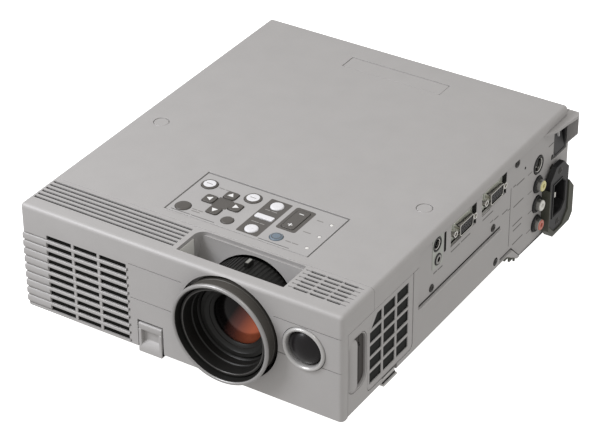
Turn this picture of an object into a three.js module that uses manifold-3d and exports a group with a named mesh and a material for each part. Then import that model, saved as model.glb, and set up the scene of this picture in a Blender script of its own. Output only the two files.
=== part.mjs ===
// Home projector: a flat metallic-grey case with a zoom lens at the front,
// a key panel on top and a terminal plate on its right side.
// Millimetres. +X is the terminal side, +Y runs from the lens to the back, +Z is up.
// The origin is the bottom centre of the object's bounding box.
import * as THREE from 'three';
import { mergeVertices } from 'three/addons/utils/BufferGeometryUtils.js';
import Module from 'manifold-3d';

const wasm = await Module();
wasm.setup();

// ---------- driving dimensions ----------
const CASE_WIDTH = 235;
const CASE_DEPTH = 287;
const CASE_TOP = 98;
const FRONT_FLOOR = 22;
const REAR_FLOOR = 12;
const REAR_COVER_END = 292.5;
const WALL = 2.5;
const GAP = 0.3;
const EDGE_ROUND = 3;
const BEZEL_DEPTH = 35.3;
const BEZEL_SIDE_RETURN = 5.8;
const SHELL_SPLIT = 82;
const LENS_X = 37;
const LENS_Z = 61;
const LENS_FRONT = -10;
const PLATE_FACE = 116;
const HOOD_FACE = 124.5;
const KEY_TOP = 98.7;
const KEY_FLANGE_TOP = 94.5;
const HALF = CASE_WIDTH / 2;
const INNER = HALF - WALL;

// ---------- colours ----------
const paint = (color, roughness, metalness) => () => (
  new THREE.MeshStandardMaterial({ color, roughness, metalness })
);
const CASE_PAINT = paint(0xc0bdbb, 0.45, 0.25);
const KEY_WHITE = paint(0xe9e9ea, 0.35, 0);
const KEY_GREY = paint(0x77726c, 0.45, 0);
const KEY_BLUE = paint(0x6e7d8b, 0.4, 0);
const BLACK_PLASTIC = paint(0x1a1a1b, 0.5, 0);
const DARK_PLASTIC = paint(0x43453f, 0.55, 0);
const RUBBER = paint(0x222222, 0.9, 0);
const CHROME = paint(0xd6d6d2, 0.2, 1);
const STEEL = paint(0x9c9c9a, 0.35, 0.9);
const GLASS = paint(0xb46a4a, 0.05, 0);
const SMOKED = paint(0x2c2a30, 0.1, 0);
const BOARD = paint(0x2f6b3a, 0.6, 0);
const YELLOW = paint(0xe0c83c, 0.4, 0);
const WHITE = paint(0xf0f0ee, 0.4, 0);
const RED = paint(0xc8452f, 0.4, 0);
const CLEAR = paint(0xe6e2da, 0.3, 0);

// ---------- solids ----------
function signedVolume(positions, indices) {
  let sum = 0;
  for (let i = 0; i < indices.length; i += 3) {
    const [a, b, c] = [indices[i] * 3, indices[i + 1] * 3, indices[i + 2] * 3];
    const [ax, ay, az] = [positions[a], positions[a + 1], positions[a + 2]];
    const [bx, by, bz] = [positions[b], positions[b + 1], positions[b + 2]];
    const [cx, cy, cz] = [positions[c], positions[c + 1], positions[c + 2]];
    sum += ax * (by * cz - bz * cy) + ay * (bz * cx - bx * cz) + az * (bx * cy - by * cx);
  }
  return sum / 6;
}

function solid(geometry) {
  const bare = geometry.clone();
  bare.deleteAttribute('normal');
  bare.deleteAttribute('uv');
  const merged = mergeVertices(bare, 1e-4);
  const vertProperties = new Float32Array(merged.attributes.position.array);
  const triVerts = new Uint32Array(merged.index.array);
  if (signedVolume(vertProperties, triVerts) < 0) {
    for (let i = 0; i < triVerts.length; i += 3) {
      [triVerts[i + 1], triVerts[i + 2]] = [triVerts[i + 2], triVerts[i + 1]];
    }
  }
  return new wasm.Manifold(new wasm.Mesh({ numProp: 3, vertProperties, triVerts }));
}

function join(...pieces) {
  return pieces.reduce((sum, piece) => sum.add(piece));
}

function cut(body, ...tools) {
  return tools.reduce((left, tool) => left.subtract(tool), body);
}

// A box given by its lowest and highest corner along each axis.
function block([x0, x1], [y0, y1], [z0, z1]) {
  const geometry = new THREE.BoxGeometry(x1 - x0, y1 - y0, z1 - z0);
  geometry.translate((x0 + x1) / 2, (y0 + y1) / 2, (z0 + z1) / 2);
  return solid(geometry);
}

// Turns a solid made along +Z so that it lies along another axis.
const ALONG = {
  x: new THREE.Matrix4().makeBasis(
    new THREE.Vector3(0, 1, 0), new THREE.Vector3(0, 0, 1), new THREE.Vector3(1, 0, 0)),
  y: new THREE.Matrix4().makeBasis(
    new THREE.Vector3(-1, 0, 0), new THREE.Vector3(0, 0, 1), new THREE.Vector3(0, 1, 0)),
  z: new THREE.Matrix4(),
};

// A closed outline extruded between two stations along an axis. On axis x the outline's
// (u, v) is (y, z), on axis y it is (-x, z), and on axis z it is (x, y).
function prism(shape, axis, [from, to], curveSegments = 6) {
  const geometry = new THREE.ExtrudeGeometry(shape, {
    depth: to - from, bevelEnabled: false, curveSegments,
  });
  geometry.translate(0, 0, from);
  geometry.applyMatrix4(ALONG[axis]);
  return solid(geometry);
}

function polygon(points) {
  return new THREE.Shape(points.map(([u, v]) => new THREE.Vector2(u, v)));
}

function roundedRectangle([u0, u1], [v0, v1], radius) {
  const shape = new THREE.Shape();
  shape.moveTo(u0 + radius, v0);
  shape.lineTo(u1 - radius, v0);
  shape.absarc(u1 - radius, v0 + radius, radius, -Math.PI / 2, 0);
  shape.lineTo(u1, v1 - radius);
  shape.absarc(u1 - radius, v1 - radius, radius, 0, Math.PI / 2);
  shape.lineTo(u0 + radius, v1);
  shape.absarc(u0 + radius, v1 - radius, radius, Math.PI / 2, Math.PI);
  shape.lineTo(u0, v0 + radius);
  shape.absarc(u0 + radius, v0 + radius, radius, Math.PI, Math.PI * 1.5);
  return shape;
}

// A rod along an axis, its centre given in the two other axes in X, Y, Z order.
function rod(axis, [a, b], radius, [from, to], segments = 20) {
  const geometry = new THREE.CylinderGeometry(radius, radius, to - from, segments);
  const middle = (from + to) / 2;
  if (axis === 'x') {
    geometry.rotateZ(Math.PI / 2);
    geometry.translate(middle, a, b);
  } else if (axis === 'y') {
    geometry.translate(a, middle, b);
  } else {
    geometry.rotateX(Math.PI / 2);
    geometry.translate(a, b, middle);
  }
  return solid(geometry);
}

// A ring or disc turned about +Y from (radius, y) points.
function turned(points, segments = 48) {
  const profile = points.map(([r, y]) => new THREE.Vector2(r, y));
  if (points[0][0] > 0) {
    profile.push(profile[0].clone());
  }
  return solid(new THREE.LatheGeometry(profile, segments));
}

// ---------- scene graph ----------
const projector = new THREE.Group();

function addPart(name, body, makeMaterial, position = [0, 0, 0], parent = projector) {
  const { vertProperties, triVerts } = body.getMesh();
  const geometry = new THREE.BufferGeometry();
  geometry.setAttribute('position', new THREE.BufferAttribute(vertProperties, 3));
  geometry.setIndex(new THREE.BufferAttribute(triVerts, 1));
  geometry.computeVertexNormals();
  const mesh = new THREE.Mesh(geometry, makeMaterial());
  mesh.name = name;
  mesh.position.set(...position);
  parent.add(mesh);
}

// ---------- the outside of the case ----------
function caseOutside() {
  const top = CASE_TOP;
  const r = EDGE_ROUND;
  const across = new THREE.Shape();
  across.moveTo(-HALF + 1, REAR_FLOOR);
  across.lineTo(HALF - 1, REAR_FLOOR);
  across.lineTo(HALF, REAR_FLOOR + 1);
  across.lineTo(HALF, top - r);
  across.absarc(HALF - r, top - r, r, 0, Math.PI / 2);
  across.lineTo(-HALF + r, top);
  across.absarc(-HALF + r, top - r, r, Math.PI / 2, Math.PI);
  across.lineTo(-HALF, REAR_FLOOR + 1);
  const along = new THREE.Shape();
  along.moveTo(0.8, FRONT_FLOOR);
  along.lineTo(206, FRONT_FLOOR);
  along.lineTo(222, REAR_FLOOR);
  along.lineTo(CASE_DEPTH, REAR_FLOOR);
  along.lineTo(CASE_DEPTH, top - r);
  along.absarc(CASE_DEPTH - r, top - r, r, 0, Math.PI / 2);
  along.lineTo(r, top);
  along.lineTo(0, top - r);
  along.lineTo(0, FRONT_FLOOR + 0.8);
  const plan = roundedRectangle([-HALF, HALF], [0, CASE_DEPTH], 2.5);
  const reach = [-HALF - 1, HALF + 1];
  return prism(across, 'y', [-1, CASE_DEPTH + 1], 4)
    .intersect(prism(along, 'x', reach, 4))
    .intersect(prism(plan, 'z', [0, CASE_TOP + 1], 3));
}
const OUTSIDE = caseOutside();
const ALL_X = [-HALF - 1, HALF + 1];

// ---------- lens hole, sensor hole and well shared by several pieces ----------
const LENS_HOLE_RADIUS = 35.6;
const SENSOR = { x: 90.7, z: 65.9, bezelRadius: 14.8, windowRadius: 11.5 };
const WELL = { x: [-5, 71.5], y: [8.5, 34], floor: 64, backFoot: 27, skin: 1.5 };
const WELL_ARCH_RADIUS = 33.2;
const EXHAUST = {
  columns: [[-98, -78.9], [-77.1, -59.2], [-57.4, -37]],
  rows: 10, pitch: 5.9, highest: 78.7, height: 3.6,
};
const TOP_SLOTS = {
  columns: [[-114.3, -8.7], [76.5, 86.3], [87.9, 98.1], [99.5, 108.8]],
  rows: 6, pitch: 3.94, first: 10.4, width: 1.9,
};
// The hole of the left foot's catch in the front face, and that of the right foot's in the side.
const FOOT_KEY = { x: [-30.6, -11.4], top: 42.3, deep: 13, sideY: [45.5, 63.5], sideTop: 26.1 };

function frontBezel() {
  const topStrip = block(ALL_X, [-1, BEZEL_DEPTH], [SHELL_SPLIT + GAP, CASE_TOP + 1]);
  const lowerFace = block(ALL_X, [-1, BEZEL_SIDE_RETURN], [FRONT_FLOOR - 1, SHELL_SPLIT + 1]);
  const shell = OUTSIDE.intersect(join(topStrip, lowerFace));
  const inside = block([-INNER, INNER], [WALL + 0.5, BEZEL_DEPTH + 1],
    [FRONT_FLOOR + WALL, CASE_TOP - WALL]);
  const wellMouth = block(
    [WELL.x[0] - WELL.skin - GAP, WELL.x[1] + WELL.skin + GAP],
    [WELL.y[0] - WELL.skin - GAP, WELL.y[1] + GAP], [CASE_TOP - 4, CASE_TOP + 1]);
  const lensHole = rod('y', [LENS_X, LENS_Z], LENS_HOLE_RADIUS, [-1, WALL + 1], 44);
  const sensorHole = rod('y', [SENSOR.x, SENSOR.z], SENSOR.bezelRadius + GAP, [-1, WALL + 1], 28);
  const footKeyHole = block(FOOT_KEY.x, [-1, BEZEL_SIDE_RETURN + 1],
    [FRONT_FLOOR - 1, FOOT_KEY.top]);
  return cut(shell, inside, wellMouth, lensHole, sensorHole, footKeyHole,
    ...exhaustSlots(), ...topSlots());
}

function exhaustSlots() {
  const slots = [];
  for (let row = 0; row < EXHAUST.rows; row += 1) {
    const low = EXHAUST.highest - row * EXHAUST.pitch - EXHAUST.height / 2;
    for (const column of EXHAUST.columns) {
      slots.push(block(column, [-1, WALL + 1], [low, low + EXHAUST.height]));
    }
  }
  return slots;
}

// Six rows behind the front edge: one long slot left of the well, three short ones right of it.
function topSlots() {
  const slots = [];
  for (let row = 0; row < TOP_SLOTS.rows; row += 1) {
    const y = TOP_SLOTS.first + row * TOP_SLOTS.pitch;
    for (const column of TOP_SLOTS.columns) {
      slots.push(block(column, [y, y + TOP_SLOTS.width], [CASE_TOP - 4, CASE_TOP + 1]));
    }
  }
  return slots;
}

// The well over the zoom ring: side walls, a floor beside the barrel and a back wall that
// leans forward and is arched over the barrel.
function lensWell() {
  const [x0, x1] = WELL.x;
  const [y0, y1] = WELL.y;
  const skin = WELL.skin;
  const base = WELL.floor;
  const outline = (grow) => polygon([
    [y0 - grow, base - grow], [WELL.backFoot + grow, base - grow],
    [y1, CASE_TOP - 0.1], [y0 - grow, CASE_TOP - 0.1],
  ]);
  const outer = prism(outline(skin), 'x', [x0 - skin, x1 + skin]);
  const hollow = prism(polygon([
    [y0, base], [WELL.backFoot - skin, base], [y1 - skin, CASE_TOP + 1], [y0, CASE_TOP + 1],
  ]), 'x', [x0, x1]);
  const barrelWay = rod('y', [LENS_X, LENS_Z], WELL_ARCH_RADIUS, [0, 60], 36);
  return cut(outer, hollow, barrelWay);
}

// ---------- shells ----------
const PANEL = { x: [-37, 66], y: [43, 90.6], plateTop: 97.9, plateBottom: 95 };
const CAPS = [[-99.5, 127], [99, 126.5]];
const CAP_RADIUS = 5;
const CORNER_X = 104;
const BADGE = { x: [-38, 38], y: [253.5, 267.5] };
const TERMINAL_TOP = 91.3;
const SWITCH = { y: 280.4, z: 74.6 };
const SWITCH_RECESS = { y: [270.6, 290.2], z: [63.2, 86] };

function topCover() {
  const region = block(ALL_X, [BEZEL_DEPTH + GAP, CASE_DEPTH + 1], [SHELL_SPLIT + GAP, 99]);
  const inside = block([-INNER, INNER], [BEZEL_DEPTH - 1, CASE_DEPTH - WALL],
    [SHELL_SPLIT - 1, CASE_TOP - WALL]);
  const panelHole = block(
    [PANEL.x[0] - GAP, PANEL.x[1] + GAP], [PANEL.y[0] - GAP, PANEL.y[1] + GAP], [90, 99]);
  const overTerminals = block([INNER - 1, HALF + 1], [88.5, CASE_DEPTH + 1],
    [80, TERMINAL_TOP + GAP]);
  const badgeSeat = block(BADGE.x, BADGE.y, [CASE_TOP - 0.8, CASE_TOP + 1]);
  const capHoles = CAPS.map((centre) => (
    rod('z', centre, CAP_RADIUS + GAP, [CASE_TOP - 1.2, CASE_TOP + 1], 20)));
  const cornerWay = block([CORNER_X, HALF + 1], [CASE_DEPTH - WALL - 1, CASE_DEPTH + 1],
    [80, TERMINAL_TOP + GAP]);
  return cut(OUTSIDE.intersect(region), inside, panelHole, overTerminals, cornerWay, badgeSeat,
    ...capHoles);
}

// The outline of the terminal plate as (y, z).
function terminalOutline(grow) {
  return polygon([
    [88.9 - grow, 50.8 - grow], [196 - grow, 50.8 - grow], [196 - grow, 24 - grow],
    [214 - grow, 24 - grow], [226 - grow, REAR_FLOOR], [REAR_COVER_END, REAR_FLOOR],
    [REAR_COVER_END, TERMINAL_TOP + grow], [88.9 - grow, TERMINAL_TOP + grow],
  ]);
}

const INTAKE = {
  y: [28.5, 82], z: [26.5, 81.9], columns: [[31.2, 44.9], [47, 60.7], [62.8, 76.5]],
  rows: 5, pitch: 9.9, lowest: 30.6, height: 8,
};
const STRAP = { y: [5.9, 27.2], z: [35.9, 76.1], round: 8 };
const LEFT_FOOT = [-21, 47];
const RIGHT_FOOT = [84, 55];
const FOOT_RADIUS = 8;
const CATCH_BASE = 19.2;
const REAR_FEET = [[-98, 262], [98, 262]];

function bottomCase() {
  const region = block(ALL_X, [BEZEL_SIDE_RETURN + GAP, CASE_DEPTH + 1], [0, SHELL_SPLIT]);
  const inFront = block([-INNER, INNER], [0, 206], [FRONT_FLOOR + WALL, SHELL_SPLIT + 1]);
  const ramp = prism(polygon([
    [205, FRONT_FLOOR + WALL], [222, REAR_FLOOR + WALL], [CASE_DEPTH - WALL, REAR_FLOOR + WALL],
    [CASE_DEPTH - WALL, SHELL_SPLIT + 1], [205, SHELL_SPLIT + 1],
  ]), 'x', [-INNER, INNER]);
  const intakeHole = block([INNER - 1, HALF + 1], [INTAKE.y[0] - GAP, INTAKE.y[1] + GAP],
    [INTAKE.z[0] - GAP, SHELL_SPLIT + 1]);
  const terminalHole = prism(terminalOutline(GAP), 'x', [INNER - 1, HALF + 1]);
  const rearHole = block([-INNER + 8, INNER + 1], [CASE_DEPTH - 4, CASE_DEPTH + 1],
    [REAR_FLOOR + 8, SHELL_SPLIT + 1]);
  const strapHole = prism(roundedRectangle(STRAP.y, STRAP.z, STRAP.round), 'x',
    [INNER - 1, HALF + 1], 4);
  const footHoles = [LEFT_FOOT, RIGHT_FOOT].map((centre) => (
    rod('z', centre, FOOT_RADIUS + 0.5, [FRONT_FLOOR - 1, FRONT_FLOOR + WALL + 1], 20)));
  const sideKeySlot = block([104, HALF + 1], FOOT_KEY.sideY, [FRONT_FLOOR - 1, FOOT_KEY.sideTop]);
  const frontKeySlot = block(FOOT_KEY.x, [0, FOOT_KEY.deep],
    [FRONT_FLOOR - 1, FRONT_FLOOR + WALL + 1]);
  return cut(OUTSIDE.intersect(region), inFront, ramp, intakeHole, terminalHole, rearHole,
    strapHole, sideKeySlot, frontKeySlot, ...footHoles);
}

function intakeGrille() {
  const [y0, y1] = INTAKE.y;
  const [z0, z1] = INTAKE.z;
  const panel = prism(polygon([
    [y0, z0], [y1, z0], [y1, z1], [y0 + 8, z1], [y0, z1 - 12],
  ]), 'x', [INNER, HALF - 0.1]);
  const cells = [];
  for (let row = 0; row < INTAKE.rows; row += 1) {
    const low = INTAKE.lowest + row * INTAKE.pitch;
    INTAKE.columns.forEach(([from, to], column) => {
      const clipped = row === INTAKE.rows - 1 && column === 0;
      const high = low + INTAKE.height;
      cells.push(prism(polygon(clipped
        ? [[from + 1, low], [to, low], [to, high], [to - 5.5, high]]
        : [[from, low], [to, low], [to, high], [from, high]]), 'x', [INNER - 2, HALF + 1]));
    });
  }
  return cut(panel, ...cells);
}

function strapBar() {
  const outline = roundedRectangle(
    [STRAP.y[0] + GAP, STRAP.y[1] - GAP], [STRAP.z[0] + GAP, STRAP.z[1] - GAP], STRAP.round - GAP);
  const cup = prism(outline, 'x', [106, HALF], 4);
  const hollow = prism(roundedRectangle([17, 25.2], [38, 74], 4), 'x', [108, HALF + 1], 3);
  const sweep = prism(roundedRectangle([8, 19], [42, 70], 3), 'x', [108, 112.5], 2);
  return cut(cup, hollow, sweep);
}

function rearCover() {
  const plate = block([-HALF, CORNER_X], [CASE_DEPTH + GAP, REAR_COVER_END - 0.2],
    [REAR_FLOOR, 91]);
  const slots = [];
  for (let row = 0; row < 8; row += 1) {
    const z = 30 + row * 6;
    slots.push(block([-95, -35], [CASE_DEPTH - 1, REAR_COVER_END + 1], [z, z + 2.4]));
  }
  return cut(plate, ...slots);
}

function terminalPlate() {
  const plate = prism(terminalOutline(0), 'x', [PLATE_FACE - 2, PLATE_FACE]);
  const hoodPlan = polygon([
    [PLATE_FACE - 2, 255], [HALF, 255], [HOOD_FACE - 3.1, 264.5], [HOOD_FACE - 1.9, 276],
    [HOOD_FACE, REAR_COVER_END - 5.5], [HOOD_FACE - 2, REAR_COVER_END],
    [PLATE_FACE - 2, REAR_COVER_END],
  ]);
  const roof = prism(hoodPlan, 'z', [TERMINAL_TOP - 2.3, TERMINAL_TOP]);
  const backWallOutline = polygon([
    [-PLATE_FACE + 2, 62], [-PLATE_FACE, 66], [-HOOD_FACE, 77], [-HOOD_FACE, 90],
    [-PLATE_FACE + 2, 90],
  ]);
  const backWall = prism(backWallOutline, 'y', [SWITCH_RECESS.y[1], REAR_COVER_END]).intersect(
    prism(hoodPlan, 'z', [60, TERMINAL_TOP]));
  const recess = block([PLATE_FACE - 3, HOOD_FACE + 1], SWITCH_RECESS.y, SWITCH_RECESS.z);
  const holes = TERMINALS.map(({ hole, at }) => hole(at));
  const cornerBack = block([CORNER_X + GAP, PLATE_FACE], [REAR_COVER_END - 2, REAR_COVER_END],
    [REAR_FLOOR, TERMINAL_TOP]);
  return cut(join(plate, cornerBack, roof, backWall), recess, ...holes);
}

// ---------- terminals on the right side, at (y, z) on the plate ----------
const INLET = { y: 271.2, z: 36.4, half: 25, halfWidth: 13.5, proud: 5.6 };
const roundHole = (radius) => ([y, z]) => rod('x', [y, z], radius, [110, 125], 18);
const slotHole = (long, high) => ([y, z]) => (
  block([110, 125], [y - long / 2, y + long / 2], [z - high / 2, z + high / 2]));

const TERMINALS = [
  { name: 'mouse_jack', at: [112.9, 84.9], hole: roundHole(5.4) },
  { name: 'audio_jack', at: [113.9, 73.4], hole: roundHole(4.4) },
  { name: 'vga_connector_1', at: [147, 80.4], hole: slotHole(32.6, 15.8) },
  { name: 'vga_connector_2', at: [187, 81.4], hole: slotHole(32.6, 15.8) },
  { name: 's_video_jack', at: [248.8, 70.8], hole: roundHole(6.9) },
  { name: 'rca_yellow', at: [249, 55.6], hole: roundHole(6.3), colour: YELLOW },
  { name: 'rca_white', at: [249, 40.3], hole: roundHole(6.3), colour: WHITE },
  { name: 'rca_red', at: [249, 25], hole: roundHole(6.3), colour: RED },
  { name: 'ac_inlet', at: [INLET.y, INLET.z], hole: slotHole(23, 28) },
];

// A mini-DIN socket: a steel can with an open mouth and a pin block at its bottom.
function miniDin(radius) {
  const can = rod('x', [0, 0], radius - GAP, [-8, 0.6], 18);
  const mouth = rod('x', [0, 0], radius - 1.6, [-4.5, 2], 16);
  return cut(can, mouth);
}

function audioJack() {
  const body = rod('x', [0, 0], 4.1, [-9, 0.9], 16);
  const bore = rod('x', [0, 0], 1.8, [-8, 2], 12);
  return cut(body, bore);
}

// A phono socket: a coloured insulator with a metal collar round the centre hole.
function phonoSocket() {
  const insulator = rod('x', [0, 0], 6, [-8, 1.2], 18);
  const collar = rod('x', [0, 0], 4.2, [0, 4.8], 16);
  const bore = rod('x', [0, 0], 1.7, [-6, 7], 12);
  return cut(join(insulator, collar), bore);
}

// A 15-way display socket: its flange closes the pocket in the plate from behind, and carries
// the D-shaped shell and two hexagonal jack posts.
const DISPLAY_FLANGE = [-4.4, -3];
function displaySocket() {
  const front = DISPLAY_FLANGE[1] - 0.3;
  const flange = prism(roundedRectangle([-16.8, 16.8], [-8.4, 8.4], 1.5), 'x', DISPLAY_FLANGE);
  const shell = polygon([[-8.6, -3.9], [8.6, -3.9], [9.6, 3.9], [-9.6, 3.9]]);
  const rim = prism(shell, 'x', [front, 2.2]);
  const back = block([DISPLAY_FLANGE[0] - 6, DISPLAY_FLANGE[0] + 0.3], [-9, 9], [-5.4, 5.4]);
  const posts = [-12.5, 12.5].map((y) => rod('x', [y, 0], 2.7, [front, 1.8], 6));
  return join(flange, rim, back, ...posts);
}

// ---------- C14 mains inlet ----------

function lozenge(halfHigh, halfWide, corner) {
  return polygon([
    [-halfWide, -halfHigh + corner], [-halfWide + corner, -halfHigh],
    [halfWide - corner, -halfHigh], [halfWide, -halfHigh + corner],
    [halfWide, halfHigh - corner], [halfWide - corner, halfHigh],
    [-halfWide + corner, halfHigh], [-halfWide, halfHigh - corner],
  ]);
}

function mainsInlet() {
  const flange = prism(lozenge(INLET.half, INLET.halfWidth, 8), 'x', [1.6, INLET.proud]);
  const bodyBlock = block([-14, 2], [-11, 11], [-13.6, 13.6]);
  const well = prism(polygon([
    [-8.2, -12.2], [3.6, -12.2], [8.2, -7.6], [8.2, 7.6], [3.6, 12.2], [-8.2, 12.2],
  ]), 'x', [-10, INLET.proud + 1]);
  const pins = [-7, 0, 7].map((z) => block([-11, 1], [-1.2, 1.2], [z - 2, z + 2]));
  return join(cut(join(flange, bodyBlock), well), ...pins);
}

// The raised boss round the inlet's lower end, as (y, z) on the plate, open at its top.
const INLET_BOSS = polygon([
  [256.2, 47], [256.2, 16], [263, 8.5], [288, 8.5], [292.3, 13], [292.3, 34], [281, 47],
]);
function inletBoss() {
  const ring = prism(INLET_BOSS, 'x', [0.3, 6.4]);
  const hole = prism(lozenge(INLET.half + GAP, INLET.halfWidth + GAP, 8), 'x', [1.2, 8]);
  const seat = block([-1, 8], [-11.4, 11.4], [-14, 14]);
  const atInlet = (body) => body.translate([0, INLET.y, INLET.z]);
  return cut(ring, atInlet(hole), atInlet(seat));
}

// ---------- power switch ----------
function powerSwitchCup() {
  const cup = block([-7.6, -0.3], [-9.5, 9.5], [-11.1, 11.1]);
  const hollow = block([-6.4, 1], [-7.2, 7.2], [-9.4, 9.4]);
  return cut(cup, hollow);
}

// The rocker's side outline as (-x, z): its lower end stands proud when it is off.
const ROCKER_SIDE = polygon([
  [-2.4, -8.6], [-0.6, -8.6], [3, 0], [2.2, 8.6], [0.4, 8.6], [-0.4, 0],
]);
const ROCKER_PIVOT_DEPTH = 2.6;

// ---------- keys ----------
const KEY_FLANGE = 1.1;
function keyFrom(shape, flangeShape, top = KEY_TOP) {
  const stem = prism(shape, 'z', [KEY_FLANGE_TOP - 0.2, top], 3);
  const flange = prism(flangeShape, 'z', [KEY_FLANGE_TOP - KEY_FLANGE, KEY_FLANGE_TOP], 2);
  return join(stem, flange);
}

const roundKey = (radius) => ({
  key: () => join(
    rod('z', [0, 0], radius, [KEY_FLANGE_TOP - 0.2, KEY_TOP], 20),
    rod('z', [0, 0], radius + 1, [KEY_FLANGE_TOP - KEY_FLANGE, KEY_FLANGE_TOP], 20)),
  hole: () => rod('z', [0, 0], radius + 0.4, [90, 99], 20),
});
const barKey = (halfX, halfY, radius) => ({
  key: () => keyFrom(
    roundedRectangle([-halfX, halfX], [-halfY, halfY], radius),
    roundedRectangle([-halfX - 0.9, halfX + 0.9], [-halfY - 0.9, halfY + 0.9], radius)),
  hole: () => prism(roundedRectangle(
    [-halfX - 0.35, halfX + 0.35], [-halfY - 0.35, halfY + 0.35], radius), 'z', [90, 99], 3),
});

const CROSS = [-9.7, 65.6];
const ARROW_REACH = 9.6;
const KEYS = [
  { name: 'menu_button', at: [-28.9, 79.7], form: roundKey(5.4), colour: KEY_WHITE },
  { name: 'keystone_button', at: [-29.1, 50.7], form: roundKey(5), colour: KEY_GREY },
  { name: 'enter_button', at: [3.3, 80.1], form: roundKey(5.6), colour: KEY_WHITE },
  { name: 'quick_button', at: [3.4, 51.1], form: roundKey(4), colour: KEY_GREY },
  { name: 'input_button', at: [21, 80.2], form: roundKey(4.4), colour: KEY_WHITE },
  { name: 'aspect_button', at: [21.1, 65.6], form: barKey(6.4, 2.1, 1.6), colour: KEY_WHITE },
  { name: 'still_button', at: [21.1, 51.1], form: roundKey(4.4), colour: KEY_WHITE },
  { name: 'power_button', at: [38.8, 51.5], form: roundKey(4.2), colour: KEY_BLUE },
  ...[['arrow_left', -1, 0], ['arrow_right', 1, 0], ['arrow_back', 0, 1], ['arrow_front', 0, -1]]
    .map(([name, stepX, stepY]) => ({
      name,
      at: [CROSS[0] + stepX * ARROW_REACH, CROSS[1] + stepY * ARROW_REACH],
      form: stepX ? barKey(4, 4.2, 2) : barKey(4.2, 4, 2),
      colour: KEY_GREY,
    })),
];
const ROCKER = { at: [39, 73.3], halfX: 4.4, halfY: 10.6, pivotZ: 96 };
const LIGHTS = [[60.6, 80], [61, 65.2], [61, 51.1]];

function controlPanel() {
  const plate = block(PANEL.x, PANEL.y, [PANEL.plateBottom, PANEL.plateTop]);
  const keyHoles = KEYS.map(({ at, form }) => form.hole().translate([at[0], at[1], 0]));
  const rockerHole = block(
    [ROCKER.at[0] - ROCKER.halfX - 0.4, ROCKER.at[0] + ROCKER.halfX + 0.4],
    [ROCKER.at[1] - ROCKER.halfY - 0.4, ROCKER.at[1] + ROCKER.halfY + 0.4], [90, 99]);
  const lightHoles = LIGHTS.map((at) => rod('z', at, 1.5, [90, 99], 14));
  return cut(plate, ...keyHoles, rockerHole, ...lightHoles);
}

// One clear moulding: three round posts that end in the plate, on a bar below it.
function lightGuide() {
  const bar = block([60, 61.6], [LIGHTS[2][1] - 2.6, LIGHTS[0][1] + 2.5], [92.6, 94.4]);
  const posts = LIGHTS.map((at) => rod('z', at, 1.2, [93, PANEL.plateTop + 0.1], 14));
  return join(bar, ...posts);
}

function volumeRocker() {
  const { halfX, halfY } = ROCKER;
  const cap = prism(roundedRectangle([-halfX, halfX], [-halfY, halfY], 1.5), 'z', [-2.5, 2.4], 4);
  const foot = block([-halfX + 0.6, halfX - 0.6], [-1.4, 1.4], [-5, -2]);
  return join(cap, foot);
}

// ---------- lens ----------
function focusRing() {
  return turned([
    [31.7, LENS_FRONT], [34.1, LENS_FRONT], [34.6, LENS_FRONT + 0.5], [34.6, LENS_FRONT + 3],
    [33.2, LENS_FRONT + 4], [33.2, 5.5], [30.9, 5.5], [30.9, -3], [31.7, -4],
  ], 44);
}

function lensBarrel() {
  return turned([
    [28.2, -6], [30.4, -6], [30.4, 12.5], [28.6, 12.5], [28.6, 33], [26.8, 36],
    [26.8, 66], [24.5, 66], [24.5, 30], [25.4, 29], [25.4, 8], [28.2, 7],
  ], 36);
}

function zoomRing() {
  const ring = turned([[29, 14], [31.6, 14], [31.6, 31.5], [29, 31.5]], 36);
  const lever = block([-1.6, 1.6], [21, 27], [30.8, 34.6]);
  return join(ring, lever);
}

// Lens groups as (radius, y): a curved front glass in a flat cell, and a second group behind it.
const FOCUS_LENS_PROFILE = [
  [0, 7.4], [7, 7.9], [13, 9.2], [17.4, 11], [24.8, 11], [24.8, 18], [0, 18],
];
const ZOOM_LENS_PROFILE = [[0, 38], [12, 39.5], [24, 42], [24, 50], [0, 50]];

// ---------- front sensor ----------
function sensorBezel() {
  const { bezelRadius, windowRadius } = SENSOR;
  const bore = windowRadius + 0.4;
  return turned([
    [bore, -1.2], [bezelRadius - 1.4, -1.8], [bezelRadius, -0.6], [bezelRadius, 5], [bore, 5],
  ], 28);
}

function sensorWindow() {
  const { windowRadius } = SENSOR;
  return turned([
    [0, -3.4], [5, -2.8], [9, -1], [windowRadius, 1.5], [windowRadius, 6], [0, 6],
  ], 24);
}

// ---------- feet ----------
function adjustableFoot() {
  const post = rod('z', [0, 0], FOOT_RADIUS, [2.5, 50], 20);
  const pad = rod('z', [0, 0], FOOT_RADIUS - 1, [0, 3], 20);
  const cap = rod('z', [0, 0], FOOT_RADIUS + 2, [48, 51], 20);
  return join(post, pad, cap);
}

// The catch of a foot: a face with a bright lip at its top and a finger scoop under it.
function footCatch(halfWide) {
  const side = polygon([
    [-1.2, 0], [-1.2, 3.4], [2.6, 8.5], [2.6, 14.8], [-0.6, 16.8], [-0.6, 21.4], [4.5, 21.4],
    [11.5, 11], [11.5, 0],
  ]);
  return prism(side, 'x', [-halfWide, halfWide]);
}

// The catch of the right foot opens to the side.
function sideCatch() {
  const lip = block([106, 118.4], [-8, 8], [0, 1.6]);
  const face = block([106, 117], [-7.4, 7.4], [1.2, 5.1]);
  return join(lip, face);
}

// ---------- fans, lamp, optics and electronics ----------
function fanFrame(size, depth) {
  const half = size / 2;
  const frame = prism(roundedRectangle([-half, half], [-half, half], 4), 'z', [0, depth], 2);
  const duct = rod('z', [0, 0], half - 2, [-1, depth + 1], 24);
  const spokes = join(
    block([-half + 1, half - 1], [-1.5, 1.5], [depth - 2, depth]),
    block([-1.5, 1.5], [-half + 1, half - 1], [depth - 2, depth]),
    rod('z', [0, 0], half * 0.32, [depth - 2, depth], 14));
  return join(cut(frame, duct), spokes);
}

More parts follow.
